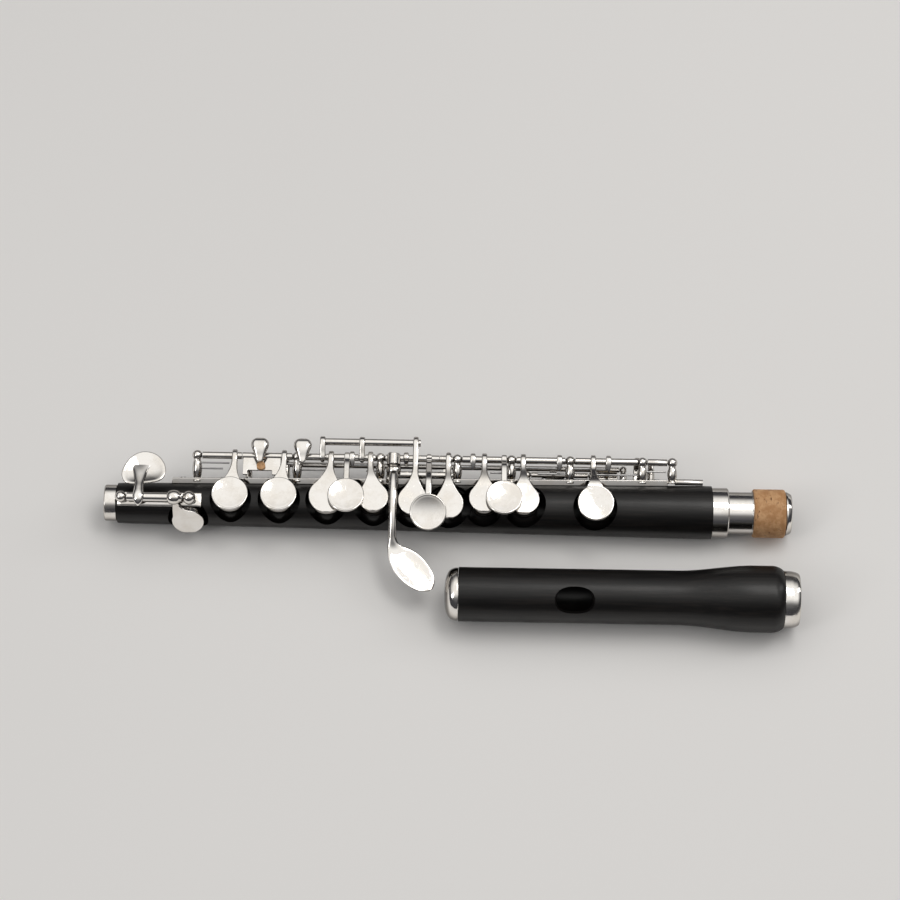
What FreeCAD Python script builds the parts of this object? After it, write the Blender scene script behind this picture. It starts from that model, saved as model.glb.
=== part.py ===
import FreeCAD, Part
import math
import os

# Piccolo in two joints: the keyed body joint lies with its keys up, and the
# head joint lies beside it. X runs along the body joint from the foot to the
# tenon, Y to the side of the key rods, and Z up. Every shape is drawn about
# the body joint's bore axis, and moved to the part's own origin at the end.

V = FreeCAD.Vector
X_AXIS = V(1, 0, 0)
ORIGIN = V(0, 0, 0)

# --- wooden body joint (mm) ---
FOOT_RING_LENGTH = 4.1
FOOT_RING_RADIUS = 5.7
FOOT_RADIUS = 6.4
SHOULDER_X = 190.8
SHOULDER_RADIUS = 8.45
FERRULE_END = 196.0
FERRULE_RADIUS = 7.85
SLEEVE_RADIUS = 6.63
CORK_START = 203.8
CORK_END = 214.0
CORK_RADIUS = 7.63
BODY_LENGTH = 215.9
BORE_FOOT = 4.0
BORE_TENON = 5.45
TAPER = (SHOULDER_RADIUS - FOOT_RADIUS) / (SHOULDER_X - FOOT_RING_LENGTH)

# --- head joint (mm) ---
HEAD_Y = -29.9
CROWN_START = 107.2
CROWN_LENGTH = 4.4
HEAD_START = CROWN_START + CROWN_LENGTH
HEAD_RADIUS = 8.45
BULB_RADIUS = 10.4
BULB_START = 179.5
BULB_FULL = 203.5
HEAD_WOOD_END = 212.3
HEAD_END = 217.2
SOCKET_DEPTH = 20.0
SOCKET_RADIUS = 7.70
FERRULE_MOUTH = 8.95
HEAD_BORE = 5.45
EMBOUCHURE_X = 147.0
EMBOUCHURE_ANGLE = 27.0
EMBOUCHURE_LENGTH = 12.0
EMBOUCHURE_WIDTH = 9.2
STOPPER_GAP = 7.7
HEAD_Z = BULB_RADIUS - SHOULDER_RADIUS

# --- pads, cups and seats ---
SEAT_RADIUS = 4.0
HOLE_RADIUS = 2.7
RECESS_RADIUS = 6.9
RECESS_DEPTH = 1.25
RECESS_MARGIN = 0.3
PAD_PROUD = 0.7
CUP_HEIGHT = 1.7
CUP_WALL = 0.45
PLATE_THICKNESS = 1.0
DISC_RADIUS = 5.7
DISC_HEIGHT = 1.1
PAD_GAP = 0.10
KEY_TRAVEL = 7.0

# --- rods and posts: (y, z) of each rod line ---
MAIN_ROD = (13.5, 7.7)
MAIN_ANGLE = -math.degrees(math.atan2(*MAIN_ROD))
UPPER_BAR = (17.6, 10.3)
TRILL_RODS = ((13.7, 1.2), (15.0, 4.1))
THUMB_ROD = (10.85, 2.7)
LEVER_ROD = (8.5, 6.3)
FOOT_ROD_ANGLE = -13.0
FOOT_ROD_RADIUS = 10.6
FOOT_ROD = (FOOT_ROD_RADIUS * math.sin(math.radians(FOOT_ROD_ANGLE)),
            FOOT_ROD_RADIUS * math.cos(math.radians(FOOT_ROD_ANGLE)))
TUBE_RADIUS = 1.1
SMALL_TUBE = 0.85
ROD_RADIUS = 0.5
TUBE_BORE = 0.56
POST_HOLE = 0.53
POST_BALL = 1.55
TAIL_RADIUS = 9.45
MAIN_POSTS = (28.9, 60.3, 86.5, 110.7, 127.7, 146.2, 168.9, 178.3)
RIB_THICKNESS = 0.85
RIB_WIDTH = 2.5
RIB_START = 21.1
RIB_END = 176.9
END_GAP = 0.08

# --- every finished sub-part by its node name ---
PARTS = {}


def wood_radius(x):
    """Outer radius of the tapering wooden body at a place along it."""
    return FOOT_RADIUS + TAPER * (x - FOOT_RING_LENGTH)


def seat_height(x):
    """Distance from the bore axis to the flat pad seat round a tone hole."""
    return math.sqrt(wood_radius(x) ** 2 - SEAT_RADIUS ** 2)


def along_x(radius, start, end, y=0.0, z=0.0):
    """A round bar along X."""
    return Part.makeCylinder(radius, end - start, V(start, y, z), X_AXIS)


def turned(profile):
    """A solid turned about the X axis from a list of (x, radius) points."""
    points = [V(x, r, 0) for x, r in profile]
    points.append(points[0])
    face = Part.Face(Part.makePolygon(points))
    return face.revolve(ORIGIN, X_AXIS, 360)


def turned_upright(profile, x=0.0, y=0.0):
    """A solid turned about a line along Z from a list of (radius, z) points."""
    points = [V(x + r, y, z) for r, z in profile]
    points.append(points[0])
    face = Part.Face(Part.makePolygon(points))
    return face.revolve(V(x, y, 0), V(0, 0, 1), 360)


def side_profile(points, start, end):
    """A prism along X whose section is a list of (y, z) points."""
    corners = [V(start, y, z) for y, z in points]
    corners.append(corners[0])
    face = Part.Face(Part.makePolygon(corners))
    return face.extrude(V(end - start, 0, 0))


def turn_about(shape, line, degrees):
    """Turn a shape about a line along X that passes through (y, z)."""
    copy = shape.copy()
    copy.rotate(V(0, line[0], line[1]), X_AXIS, degrees)
    return copy


def joined(shapes):
    """Fuse a list of touching shapes into one clean solid."""
    first = shapes[0]
    if len(shapes) > 1:
        first = first.multiFuse(shapes[1:])
    return first.removeSplitter()


def radial_frame(angle, line):
    """The (y, z) of a rod line as seen with the tone hole's axis upright."""
    a = math.radians(angle)
    y, z = line
    return (y * math.cos(a) + z * math.sin(a), -y * math.sin(a) + z * math.cos(a))


def radial_point(radius, line):
    """The (y, z) at a radius on the way from the bore axis to a rod line."""
    reach = math.hypot(*line)
    return (line[0] * radius / reach, line[1] * radius / reach)


def rounded(shape, height, size):
    """Round the edges that lie at one height, where the solid allows it."""
    edges = [e for e in shape.Edges
             if e.Length > 0.6 and all(abs(v.Z - height) < 1e-4 for v in e.Vertexes)
             and abs(e.CenterOfMass.z - height) < 1e-3]
    try:
        softened = shape.makeFillet(size, edges)
        if softened.isValid() and softened.Volume > 0.5 * shape.Volume:
            return softened
    except Exception as problem:
        print("edges left sharp:", problem)
    return shape


# ---------------------------------------------------------------- wood


def moat_floor():
    """The cone, coaxial with the wood, that every milled moat is cut down to."""
    start, end = 10.0, 185.0
    return Part.makeCone(wood_radius(start) - RECESS_DEPTH, wood_radius(end) - RECESS_DEPTH,
                         end - start, V(start, 0, 0), X_AXIS)


def tone_hole_cutter(x, angle, hole_radius=HOLE_RADIUS, recess=RECESS_RADIUS):
    """The hole, its flat seat and the moat milled round the seat."""
    reach = wood_radius(x) + 3.0
    width = min(recess, wood_radius(x) - RECESS_MARGIN)
    moat = Part.makeCylinder(width, reach, V(x, 0, 0))
    moat = moat.cut(Part.makeCylinder(SEAT_RADIUS + 0.15, reach, V(x, 0, 0)))
    moat = turn_about(moat, (0, 0), angle).cut(moat_floor())
    flat = Part.makeCylinder(SEAT_RADIUS + 0.25, 4.0, V(x, 0, seat_height(x)))
    hole = Part.makeCylinder(hole_radius, reach, V(x, 0, 0))
    return moat, turn_about(flat.fuse(hole), (0, 0), angle)


def body_tube(holes):
    """The tapering wooden tube with its bore, tenon and tone holes."""
    outside = turned([(0.5, 0), (0.5, FOOT_RADIUS - 1.4), (FOOT_RING_LENGTH, FOOT_RADIUS - 1.4),
                      (FOOT_RING_LENGTH, FOOT_RADIUS),
                      (SHOULDER_X, SHOULDER_RADIUS), (SHOULDER_X, 7.0), (FERRULE_END, 7.0),
                      (FERRULE_END, 6.0), (CORK_END, 6.0), (CORK_END, 0)])
    for moat, hole in holes:
        outside = outside.cut(moat)
    for moat, hole in holes:
        outside = outside.cut(hole)
    bore = Part.makeCone(BORE_FOOT, BORE_TENON, BODY_LENGTH + 2, V(-1, 0, 0), X_AXIS)
    return outside.cut(bore)


def foot_ring():
    """Silver ring over the foot end."""
    return turned([(0, BORE_FOOT + 0.3), (0, FOOT_RING_RADIUS - 0.3), (0.3, FOOT_RING_RADIUS),
                   (3.7, FOOT_RING_RADIUS), (FOOT_RING_LENGTH, FOOT_RING_RADIUS - 0.25),
                   (FOOT_RING_LENGTH, FOOT_RADIUS - 1.38), (0.48, FOOT_RADIUS - 1.38),
                   (0.48, BORE_FOOT + 0.3)])


def body_ferrule():
    """Silver ferrule against the wooden shoulder."""
    return turned([(SHOULDER_X + 0.02, 7.02), (SHOULDER_X + 0.02, FERRULE_RADIUS),
                   (FERRULE_END - 0.35, FERRULE_RADIUS), (FERRULE_END, FERRULE_RADIUS - 0.3),
                   (FERRULE_END, 7.02)])


def tenon_sleeve():
    """Metal sleeve that lines the outside of the tenon and carries the cork."""
    return turned([(FERRULE_END + 0.02, 6.02), (FERRULE_END + 0.02, SLEEVE_RADIUS),
                   (CORK_START - 0.3, SLEEVE_RADIUS), (CORK_START - 0.3, 6.95),
                   (CORK_START, 6.95), (CORK_START, 6.25), (CORK_END - 0.02, 6.25),
                   (CORK_END - 0.02, 6.02)])


def tenon_cork():
    """Cork band of the tenon."""
    return turned([(CORK_START + 0.02, 6.27), (CORK_START + 0.02, CORK_RADIUS - 0.35),
                   (CORK_START + 0.4, CORK_RADIUS), (CORK_END - 0.5, CORK_RADIUS),
                   (CORK_END - 0.1, CORK_RADIUS - 0.35), (CORK_END - 0.1, 6.27)])


def tenon_end_ring():
    """Bright ring that closes the end of the tenon."""
    return turned([(CORK_END + 0.02, BORE_TENON + 0.02), (CORK_END + 0.02, 6.9),
                   (CORK_END + 0.5, 6.9), (BODY_LENGTH - 0.3, 6.3), (BODY_LENGTH, 6.0),
                   (BODY_LENGTH, BORE_TENON + 0.02)])


# ---------------------------------------------------------------- ribs and posts


def rib(start, end, angle, width, thickness):
    """A flat strip bent to the wood along one line of the body."""
    inner = Part.makeCone(wood_radius(start) + 0.02, wood_radius(end) + 0.02,
                          end - start, V(start, 0, 0), X_AXIS)
    outer = Part.makeCone(wood_radius(start) + thickness, wood_radius(end) + thickness,
                          end - start, V(start, 0, 0), X_AXIS)
    slab = Part.makeBox(end - start, width, 20, V(start, -width / 2, 1))
    slab = turn_about(slab, (0, 0), angle)
    return outer.cut(inner).common(slab)


def post(x, line, foot, ball=POST_BALL, stem=1.0):
    """A turned ball-top post that stands on the foot radius and holds a rod."""
    height = math.hypot(line[0], line[1])
    angle = -math.degrees(math.atan2(line[0], line[1]))
    span = height - foot
    body = turned_upright([(0, foot - 0.5), (1.75 * stem, foot - 0.5), (1.75 * stem, foot + 0.45),
                           (1.15 * stem, foot + 0.75), (1.15 * stem, foot + 1.1),
                           (1.5 * stem, foot + 0.25 * span), (1.5 * stem, foot + 0.62 * span),
                           (1.1 * stem, height - ball * 0.8), (1.1 * stem, height),
                           (0, height)], x)
    body = body.fuse(Part.makeSphere(ball, V(x, 0, height)))
    body = body.cut(along_x(foot, x - 4, x + 4))
    body = body.cut(along_x(POST_HOLE, x - 4, x + 4, 0, height))
    return turn_about(body, (0, 0), angle)


def post_group(places, line, ball, stem):
    """Separate small posts that stand in the wood beside the long rib."""
    clear = rib(RIB_START, RIB_END, MAIN_ANGLE, RIB_WIDTH + 0.1, RIB_THICKNESS + 0.05)
    return [post(x, line, wood_radius(x) + 0.02, ball, stem).cut(clear) for x in places]


def pivot_rod(line, start, end):
    """Steel rod that keys turn on."""
    return along_x(ROD_RADIUS, start, end, line[0], line[1])


def rib_screws():
    """Slotted screw heads that hold the long rib to the wood."""
    screws = []
    for x in (24.5, 45.0, 73.0, 99.0, 138.0, 162.5, 173.5):
        low = wood_radius(x) + RIB_THICKNESS + 0.02
        head = Part.makeCylinder(0.85, 0.35, V(x, 0, low))
        slot = Part.makeBox(2.4, 0.25, 0.3, V(x - 1.2, -0.125, low + 0.18))
        screws.append(turn_about(head.cut(slot), (0, 0), MAIN_ANGLE))
    return screws


def needle_springs():
    """Steel needle springs that reach from their posts towards the keys."""
    springs = []
    runs = ((28.9, 39.0, 13.2), (28.9, 37.0, 11.4), (60.3, 52.5, 13.2), (60.3, 69.0, 11.4),
            (86.5, 76.0, 13.2), (86.5, 82.0, 11.4), (110.7, 118.0, 13.2), (127.7, 121.0, 11.4),
            (127.7, 142.0, 13.2), (146.2, 136.0, 11.4), (146.2, 158.0, 13.2),
            (168.9, 152.0, 11.4), (168.9, 176.5, 12.6))
    for fixed, free, radius in runs:
        low, high = min(fixed, free), max(fixed, free)
        springs.append(along_x(0.28, low, high, *radial_point(radius, MAIN_ROD)))
    return springs


# ---------------------------------------------------------------- keys


def leaf_face(cup_x, cup_y, cup_radius, arm_x, neck, far_y, sweep, tip):
    """Plan of a pad cup whose sides sweep in hollow curves to a narrow arm."""
    side = 1.0 if far_y > cup_y else -1.0
    points = {}
    for s in (-1.0, 1.0):
        bow_x = arm_x + s * (neck + sweep)
        rise = math.sqrt((cup_radius + sweep) ** 2 - (bow_x - cup_x) ** 2)
        bow = V(bow_x, cup_y + side * rise, 0)
        start = V(arm_x + s * neck, bow.y, 0)
        centre = V(cup_x, cup_y, 0)
        touch = centre + (bow - centre) * (cup_radius / (cup_radius + sweep))
        middle = (start - bow) + (touch - bow)
        middle.normalize()
        points[s] = (start, bow + middle * sweep, touch)
    left, right = points[-1.0], points[1.0]
    top_left = V(arm_x - neck, far_y, 0)
    top_right = V(arm_x + neck, far_y, 0)
    point = V(arm_x, far_y + side * tip, 0)
    wire = Part.Wire([
        Part.LineSegment(point, top_left).toShape(),
        Part.LineSegment(top_left, left[0]).toShape(),
        Part.Arc(left[0], left[1], left[2]).toShape(),
        Part.Arc(left[2], V(cup_x, cup_y - side * cup_radius, 0), right[2]).toShape(),
        Part.Arc(right[2], right[1], right[0]).toShape(),
        Part.LineSegment(right[0], top_right).toShape(),
        Part.LineSegment(top_right, point).toShape()])
    return Part.Face(wire)


def pad_key(x, radius, arm_x, angle, line, tube=TUBE_RADIUS, neck=1.0, sweep=9.0, via=None):
    """A pad cup with its arm over the rod, closed, with the tone hole's axis upright."""
    hinge_y, hinge_z = radial_frame(angle, line)
    side = 1.0 if hinge_y > 0 else -1.0
    top = seat_height(x) + PAD_GAP + PAD_PROUD + CUP_HEIGHT
    over = hinge_z + tube + 0.55
    reach = min(2.8, 2.55 * tube)
    far_y = hinge_y + side * (reach - 1.9)
    face = leaf_face(x, 0.0, radius, arm_x, neck, far_y, sweep, 1.7)
    plate = face.extrude(V(0, 0, 40))
    plate.translate(V(0, 0, -10))
    near = side * min(radius + 0.3, abs(hinge_y) - 2.0)
    upper = [(-side * (radius + 1), top), (near, top)]
    lower = [(-side * (radius + 1), top - PLATE_THICKNESS), (near, top - PLATE_THICKNESS)]
    for y, z in via or ():
        upper.append((y, z + PLATE_THICKNESS / 2))
        lower.append((y, z - PLATE_THICKNESS / 2))
    upper += [(hinge_y - side * 1.3, over), (hinge_y + side * 0.5, over - 0.05),
              (hinge_y + side * reach, hinge_z + 0.5)]
    lower += [(hinge_y - side * 1.4, hinge_z), (hinge_y + side * (reach - 0.2), hinge_z)]
    band = side_profile(upper + lower[::-1], min(x, arm_x) - radius - 2, max(x, arm_x) + radius + 2)
    arm = plate.common(band)
    cup = Part.makeCylinder(radius, CUP_HEIGHT, V(x, 0, top - CUP_HEIGHT))
    cup = rounded(cup, top, 0.25)
    body = arm.fuse(cup)
    hollow = Part.makeCylinder(radius - CUP_WALL, CUP_HEIGHT - 0.6,
                               V(x, 0, top - CUP_HEIGHT))
    return body.cut(hollow)


def pad(x, radius, angle):
    """The pad that fills a cup and stands a little proud of its rim."""
    low = seat_height(x) + PAD_GAP
    size = radius - CUP_WALL - 0.03
    disc = turned_upright([(0, low), (size - 0.35, low), (size, low + 0.35),
                           (size, low + PAD_PROUD + CUP_HEIGHT - 0.62),
                           (0, low + PAD_PROUD + CUP_HEIGHT - 0.62)], x)
    return turn_about(disc, (0, 0), angle)


def touch_disc(x, y, low, radius=DISC_RADIUS):
    """A round finger touch with a thin bevelled rim and a shallow dish."""
    high = low + DISC_HEIGHT
    disc = turned_upright([(0, low), (radius - 0.35, low), (radius, low + 0.3),
                           (radius, high - 0.4), (radius - 0.4, high), (0, high)], x, y)
    bowl = 46.0
    depth = 0.3
    dish = Part.makeSphere(bowl, V(x, y, high - depth + bowl))
    return disc.cut(dish)


def strap(x, half_width, points, thickness=1.0):
    """A flat arm along a bent (y, z) centre line."""
    upper = [(y, z + thickness / 2) for y, z in points]
    lower = [(y, z - thickness / 2) for y, z in points]
    return side_profile(upper + lower[::-1], x - half_width, x + half_width)


def hinge_tube(line, start, end, radius=TUBE_RADIUS):
    """Outside of a key's hinge tube, with small gaps to its neighbours."""
    return along_x(radius, start + END_GAP, end - END_GAP, line[0], line[1])


def bored(shape, line, start, end, bore=TUBE_BORE):
    """Drill a key's hinge tube for its rod."""
    return shape.cut(along_x(bore, start - 2, end + 2, line[0], line[1]))


def lug(x, reach=3.4):
    """A pointed tongue that hugs the main rod and reaches over a neighbour."""
    y, z = MAIN_ROD
    drop = 1.1
    points = [(y + 2.1, z + 0.4), (y + 0.6, z + 1.75), (y - 1.0, z + 1.75),
              (y - reach, z - drop + 0.9), (y - reach, z - drop), (y - 1.0, z - 0.3), (y + 1.4, z - 0.3)]
    return side_profile(points, x - 0.8, x + 0.8)


class Key:
    """Where a main rod key's cup, arm, tone hole and tube are."""

    def __init__(self, x, radius, arm_x, angle, tube):
        self.x = x
        self.radius = radius
        self.arm_x = arm_x
        self.angle = angle
        self.tube = tube


D_KEY = Key(39.8, 5.2, 40.75, 6.0, (30.45, 43.0))
E_KEY = Key(55.0, 5.2, 56.3, 6.0, (43.0, 58.75))
F_KEY = Key(70.1, 5.7, 71.0, 6.0, (69.35, 79.65))
F_SHARP_KEY = Key(84.6, 4.75, 83.4, 8.0, (81.75, 84.95))
G_KEY = Key(97.0, 4.7, 97.6, 14.0, (61.85, 69.35))
G_SHARP_KEY = Key(108.2, 4.6, 107.9, 14.0, (105.0, 109.15))
A_KEY = Key(119.2, 4.75, 119.2, 7.0, (112.25, 126.15))
B_FLAT_KEY = Key(131.7, 4.75, 131.4, 9.0, (129.25, 144.65))
C_KEY = Key(154.0, 5.2, 153.4, 16.0, (147.75, 167.35))
D_SHARP_KEY = Key(26.6, 5.0, 23.0, 70.0, (7.75, 25.0))
THUMB_KEY = Key(141.0, 4.9, 141.0, -105.0, (134.0, 152.0))
TRILL_KEYS = (Key(158.2, 3.6, 158.2, -100.0, (46.0, 162.0)),
              Key(167.4, 3.6, 167.4, -103.0, (58.0, 170.6)))
TRILL_TOUCHES = (48.7, 62.1)
MAIN_KEYS = (D_KEY, E_KEY, F_KEY, F_SHARP_KEY, G_KEY, G_SHARP_KEY, A_KEY, B_FLAT_KEY, C_KEY)


def opened(shape, degrees=KEY_TRAVEL, line=MAIN_ROD):
    """Lift a closed main rod key to where it stands open."""
    return turn_about(shape, line, -degrees)


def main_key(key, extras=(), disc=False):
    """A key of the main rod, closed: cup, arm, hinge tube and what it carries."""
    body = pad_key(key.x, key.radius, key.arm_x, key.angle, MAIN_ROD)
    if disc:
        top = seat_height(key.x) + PAD_GAP + PAD_PROUD + CUP_HEIGHT
        body = body.fuse(touch_disc(key.x, 0.0, top - 0.02))
    body = turn_about(body, (0, 0), key.angle)
    body = joined([body, hinge_tube(MAIN_ROD, *key.tube)] + list(extras))
    return bored(body, MAIN_ROD, *key.tube)


def closed_pad(key):
    """A key's pad where it lies when the key is closed."""
    return pad(key.x, key.radius, key.angle)


def side_touch(x, cup, y=-0.3):
    """A finger touch on its own arm, standing above the cups at its sides."""
    hinge = radial_frame(cup.angle, MAIN_ROD)
    low = seat_height(cup.x) + PAD_GAP + PAD_PROUD + CUP_HEIGHT + 0.45
    disc = touch_disc(x, y, low)
    arm = strap(x, 0.95, [(y - 2.5, low + 0.1), (5.0, low + 0.1), (hinge[0] - 1.4, hinge[1] + 1.3),
                          (hinge[0] + 1.0, hinge[1] + 1.0)])
    return turn_about(disc.fuse(arm), (0, 0), cup.angle)


def e_key():
    """Right middle finger key, with the flat plate that reaches to its neighbour."""
    plate = Part.makeBox(11.8, 5.9, 0.8, V(43.4, 6.9, 7.5))
    slot = Part.makeBox(7.8, 2.4, 2.0, V(44.8, 6.0, 7.0))
    tongue = Part.makeBox(11.8, 2.0, 1.0, V(43.4, 11.6, 7.4))
    extras = [turn_about(plate.cut(slot).fuse(tongue), MAIN_ROD, KEY_TRAVEL)]
    return main_key(E_KEY, extras, disc=True)


def g_key():
    """The lower G cup, carried on an upper bar that bridges the keys before it."""
    hinge = radial_frame(G_KEY.angle, UPPER_BAR)
    cup = pad_key(G_KEY.x, G_KEY.radius, G_KEY.arm_x, G_KEY.angle, UPPER_BAR,
                  via=((hinge[0] - 6.2, hinge[1] + 1.35),))
    cup = turn_about(cup, (0, 0), G_KEY.angle)
    y, z = UPPER_BAR
    bar = along_x(TUBE_RADIUS, 67.4, 99.1, y, z)
    parts = [cup, bar, hinge_tube(MAIN_ROD, *G_KEY.tube), hinge_tube(MAIN_ROD, 79.65, 81.75)]
    for x in (68.3, 80.7):
        link = [(MAIN_ROD[0] - 1.5, MAIN_ROD[1] + 0.6), (MAIN_ROD[0] - 0.3, MAIN_ROD[1] - 1.3),
                (y + 1.9, z - 0.9), (y + 1.2, z + 1.2), (y - 0.8, z + 1.4)]
        parts.append(side_profile(link, x - 0.8, x + 0.8))
    body = joined(parts)
    return bored(body, MAIN_ROD, 60.0, 83.0)


def g_touch():
    """Left ring finger touch, tilted to the front, above the G and G sharp cups."""
    angle = 30.0
    hinge = radial_frame(angle, MAIN_ROD)
    low = 11.45
    disc = touch_disc(101.8, -1.3, low)
    arm = strap(101.8, 0.9, [(-4.0, low), (2.0, low), (9.6, 8.6), (hinge[0] - 1.2, hinge[1] + 1.5),
                             (hinge[0] + 0.9, hinge[1] + 0.9)])
    touch = turn_about(disc.fuse(arm), (0, 0), angle)
    tube = (88.05, 105.0)
    body = joined([touch, hinge_tube(MAIN_ROD, *tube), lug(89.7, 2.2), lug(94.6, 2.2)])
    return bored(body, MAIN_ROD, *tube)


def spoon_outline():
    """Plan of the little finger spoon: a leaf that curves to one side."""
    points = [V(89.9, -13.6, 0), V(89.6, -18.0, 0), V(91.5, -22.6, 0), V(95.0, -26.2, 0),
              V(99.2, -28.6, 0), V(102.6, -28.8, 0), V(104.3, -26.6, 0), V(103.4, -22.6, 0),
              V(100.4, -18.8, 0), V(96.4, -16.2, 0), V(92.6, -14.2, 0), V(91.7, -13.2, 0)]
    curve = Part.BSplineCurve()
    curve.interpolate(points)
    closing = Part.LineSegment(points[-1], points[0])
    return Part.Face(Part.Wire([curve.toShape(), closing.toShape()]))


def g_sharp_lever():
    """Little finger lever: spoon, long shaft, root ball, tube and tail."""
    spoon = spoon_outline().extrude(V(0, 0, 40))
    spoon.translate(V(0, 0, -20))
    band = side_profile([(-12.5, 6.1), (-17.0, 5.2), (-23.0, 3.6), (-30.0, 1.3), (-30.0, 0.1),
                         (-23.0, 2.4), (-17.0, 4.0), (-12.5, 4.9)], 85, 110)
    spoon = spoon.common(band)
    x = 90.75
    route = [V(x, 8.8, 8.9), V(x, 4.0, 10.6), V(x, -4.5, 10.2), V(x, -14.6, 5.3)]
    pieces = [spoon]
    for a, b in zip(route, route[1:]):
        run = b - a
        pieces.append(Part.makeCylinder(1.25, run.Length, a, run))
        pieces.append(Part.makeSphere(1.25, b))
    pieces.append(Part.makeSphere(2.0, V(x, 8.8, 8.9)))
    pieces.append(hinge_tube(LEVER_ROD, 90.1, 107.8))
    pieces.append(strap(107.0, 0.7, [(LEVER_ROD[0] - 0.6, LEVER_ROD[1] - 0.5),
                                     (LEVER_ROD[0] + 2.3, LEVER_ROD[1] - 0.5)], 0.9))
    return bored(joined(pieces), LEVER_ROD, 89.0, 109.0)


def trill_touch(x, line, tube):
    """A small domed touch over the main rod on a stem from its own long tube."""
    dome = Part.makeSphere(2.4, V(x, 15.4, 11.3))
    dome = dome.fuse(Part.makeCone(2.35, 0.8, 5.6, V(x, 15.1, 11.3), V(0, -1, -0.16)))
    flat = Part.makeBox(8, 14, 3, V(x - 4, 7, 8.3))
    dome = dome.cut(flat.translated(V(0, 0, -1.0)))
    outer = line[0] + 2.7 if line[0] < 14.5 else line[0] + 1.6
    stem = side_profile([(15.6, 11.6), (16.2, 10.4), (outer - 0.5, 8.8), (outer - 0.5, line[1] + 1.2),
                         (line[0] + 0.2, line[1] + 0.5), (line[0], line[1] - 0.6),
                         (line[0] + 0.9, line[1] - 0.6), (outer + 0.5, line[1] + 0.6),
                         (outer + 0.5, 9.4), (17.2, 11.4)], x - 0.9, x + 0.9)
    return [dome, stem, hinge_tube(line, tube[0], tube[1], SMALL_TUBE)]


def trill_key(index):
    """A trill key: its touch, its long tube and its small cup on the rod side."""
    key = TRILL_KEYS[index]
    line = TRILL_RODS[index]
    cup = pad_key(key.x, key.radius, key.arm_x, key.angle, line, SMALL_TUBE, 0.9, 5.0)
    cup = turn_about(cup, (0, 0), key.angle)
    body = joined([cup] + trill_touch(TRILL_TOUCHES[index], line, key.tube))
    return bored(body, line, *key.tube)


def thumb_key():
    """Thumb key on the rod side: a cup with a long touch along the body."""
    key = THUMB_KEY
    top = seat_height(key.x) + PAD_GAP + PAD_PROUD + CUP_HEIGHT
    cup = pad_key(key.x, key.radius, key.arm_x, key.angle, THUMB_ROD, SMALL_TUBE, 1.2, 1.5)
    touch = Part.makeCylinder(3.4, 0.6, V(key.x + 9.5, 1.0, top - 0.6))
    bar = Part.makeBox(9.5, 4.4, 0.6, V(key.x, -1.2, top - 0.6))
    cup = turn_about(cup.fuse(touch).fuse(bar), (0, 0), key.angle)
    body = joined([cup, hinge_tube(THUMB_ROD, *key.tube, SMALL_TUBE)])
    return bored(body, THUMB_ROD, *key.tube)


def kidney_face():
    """Plan of the foot key's kidney-shaped touch."""
    points = [V(10.2, 4.2, 0), V(7.0, 4.4, 0), V(5.7, 7.4, 0), V(7.8, 12.2, 0), V(12.6, 14.7, 0),
              V(17.4, 13.2, 0), V(19.4, 9.2, 0), V(18.4, 6.2, 0), V(15.2, 5.0, 0), V(12.8, 4.4, 0),
              V(11.5, 3.9, 0)]
    curve = Part.BSplineCurve()
    curve.interpolate(Points=points, PeriodicFlag=True)
    return Part.Face(Part.Wire([curve.toShape()]))


def d_sharp_key():
    """Foot key: kidney touch, arm, tube and the leaf-shaped cup at the front."""
    key = D_SHARP_KEY
    paddle = kidney_face().extrude(V(0, 0, 4))
    paddle.translate(V(0, 0, 8.5))
    paddle = paddle.common(Part.makeSphere(30.0, V(12.5, 9.0, 10.6 - 30.0)))
    paddle = paddle.cut(Part.makeSphere(29.0, V(12.5, 9.0, 9.5 - 29.0)))
    y, z = FOOT_ROD
    arm = side_profile([(y - 2.6, z + 0.2), (y - 0.6, z + 2.1), (y + 2.0, z + 1.9), (7.6, 10.3),
                        (7.6, 9.6), (y + 2.4, z + 0.6), (y, z - 0.2), (y - 1.6, z - 0.4)], 10.0, 13.0)
    cup = pad_key(key.x, key.radius, key.arm_x, key.angle, FOOT_ROD, 1.4, 1.0, 3.6)
    cup = turn_about(cup, (0, 0), key.angle)
    knuckle = along_x(2.2, 20.8, 24.4, y, z)
    body = joined([paddle, arm, cup, hinge_tube(FOOT_ROD, *key.tube, 1.4), knuckle])
    return bored(body, FOOT_ROD, *key.tube)


# ---------------------------------------------------------------- head joint


def head_shift(shape):
    """Move a shape drawn about the body's axis to the head joint's axis."""
    copy = shape.copy()
    copy.translate(V(0, HEAD_Y, HEAD_Z))
    return copy


def embouchure_hole():
    """The oval blow hole, cut through one wall and turned to the front."""
    half = (EMBOUCHURE_LENGTH - EMBOUCHURE_WIDTH) / 2
    r = EMBOUCHURE_WIDTH / 2
    pieces = [Part.makeCone(r - 0.3, r + 0.15, 14, V(EMBOUCHURE_X + s * half, 0, 0), V(0, 0, 1))
              for s in (-1, 1)]
    slab = side_profile([(-(r - 0.3), 0), (r - 0.3, 0), (r + 0.15, 14), (-(r + 0.15), 14)],
                        EMBOUCHURE_X - half, EMBOUCHURE_X + half)
    return turn_about(joined(pieces + [slab]), (0, 0), EMBOUCHURE_ANGLE)


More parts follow.
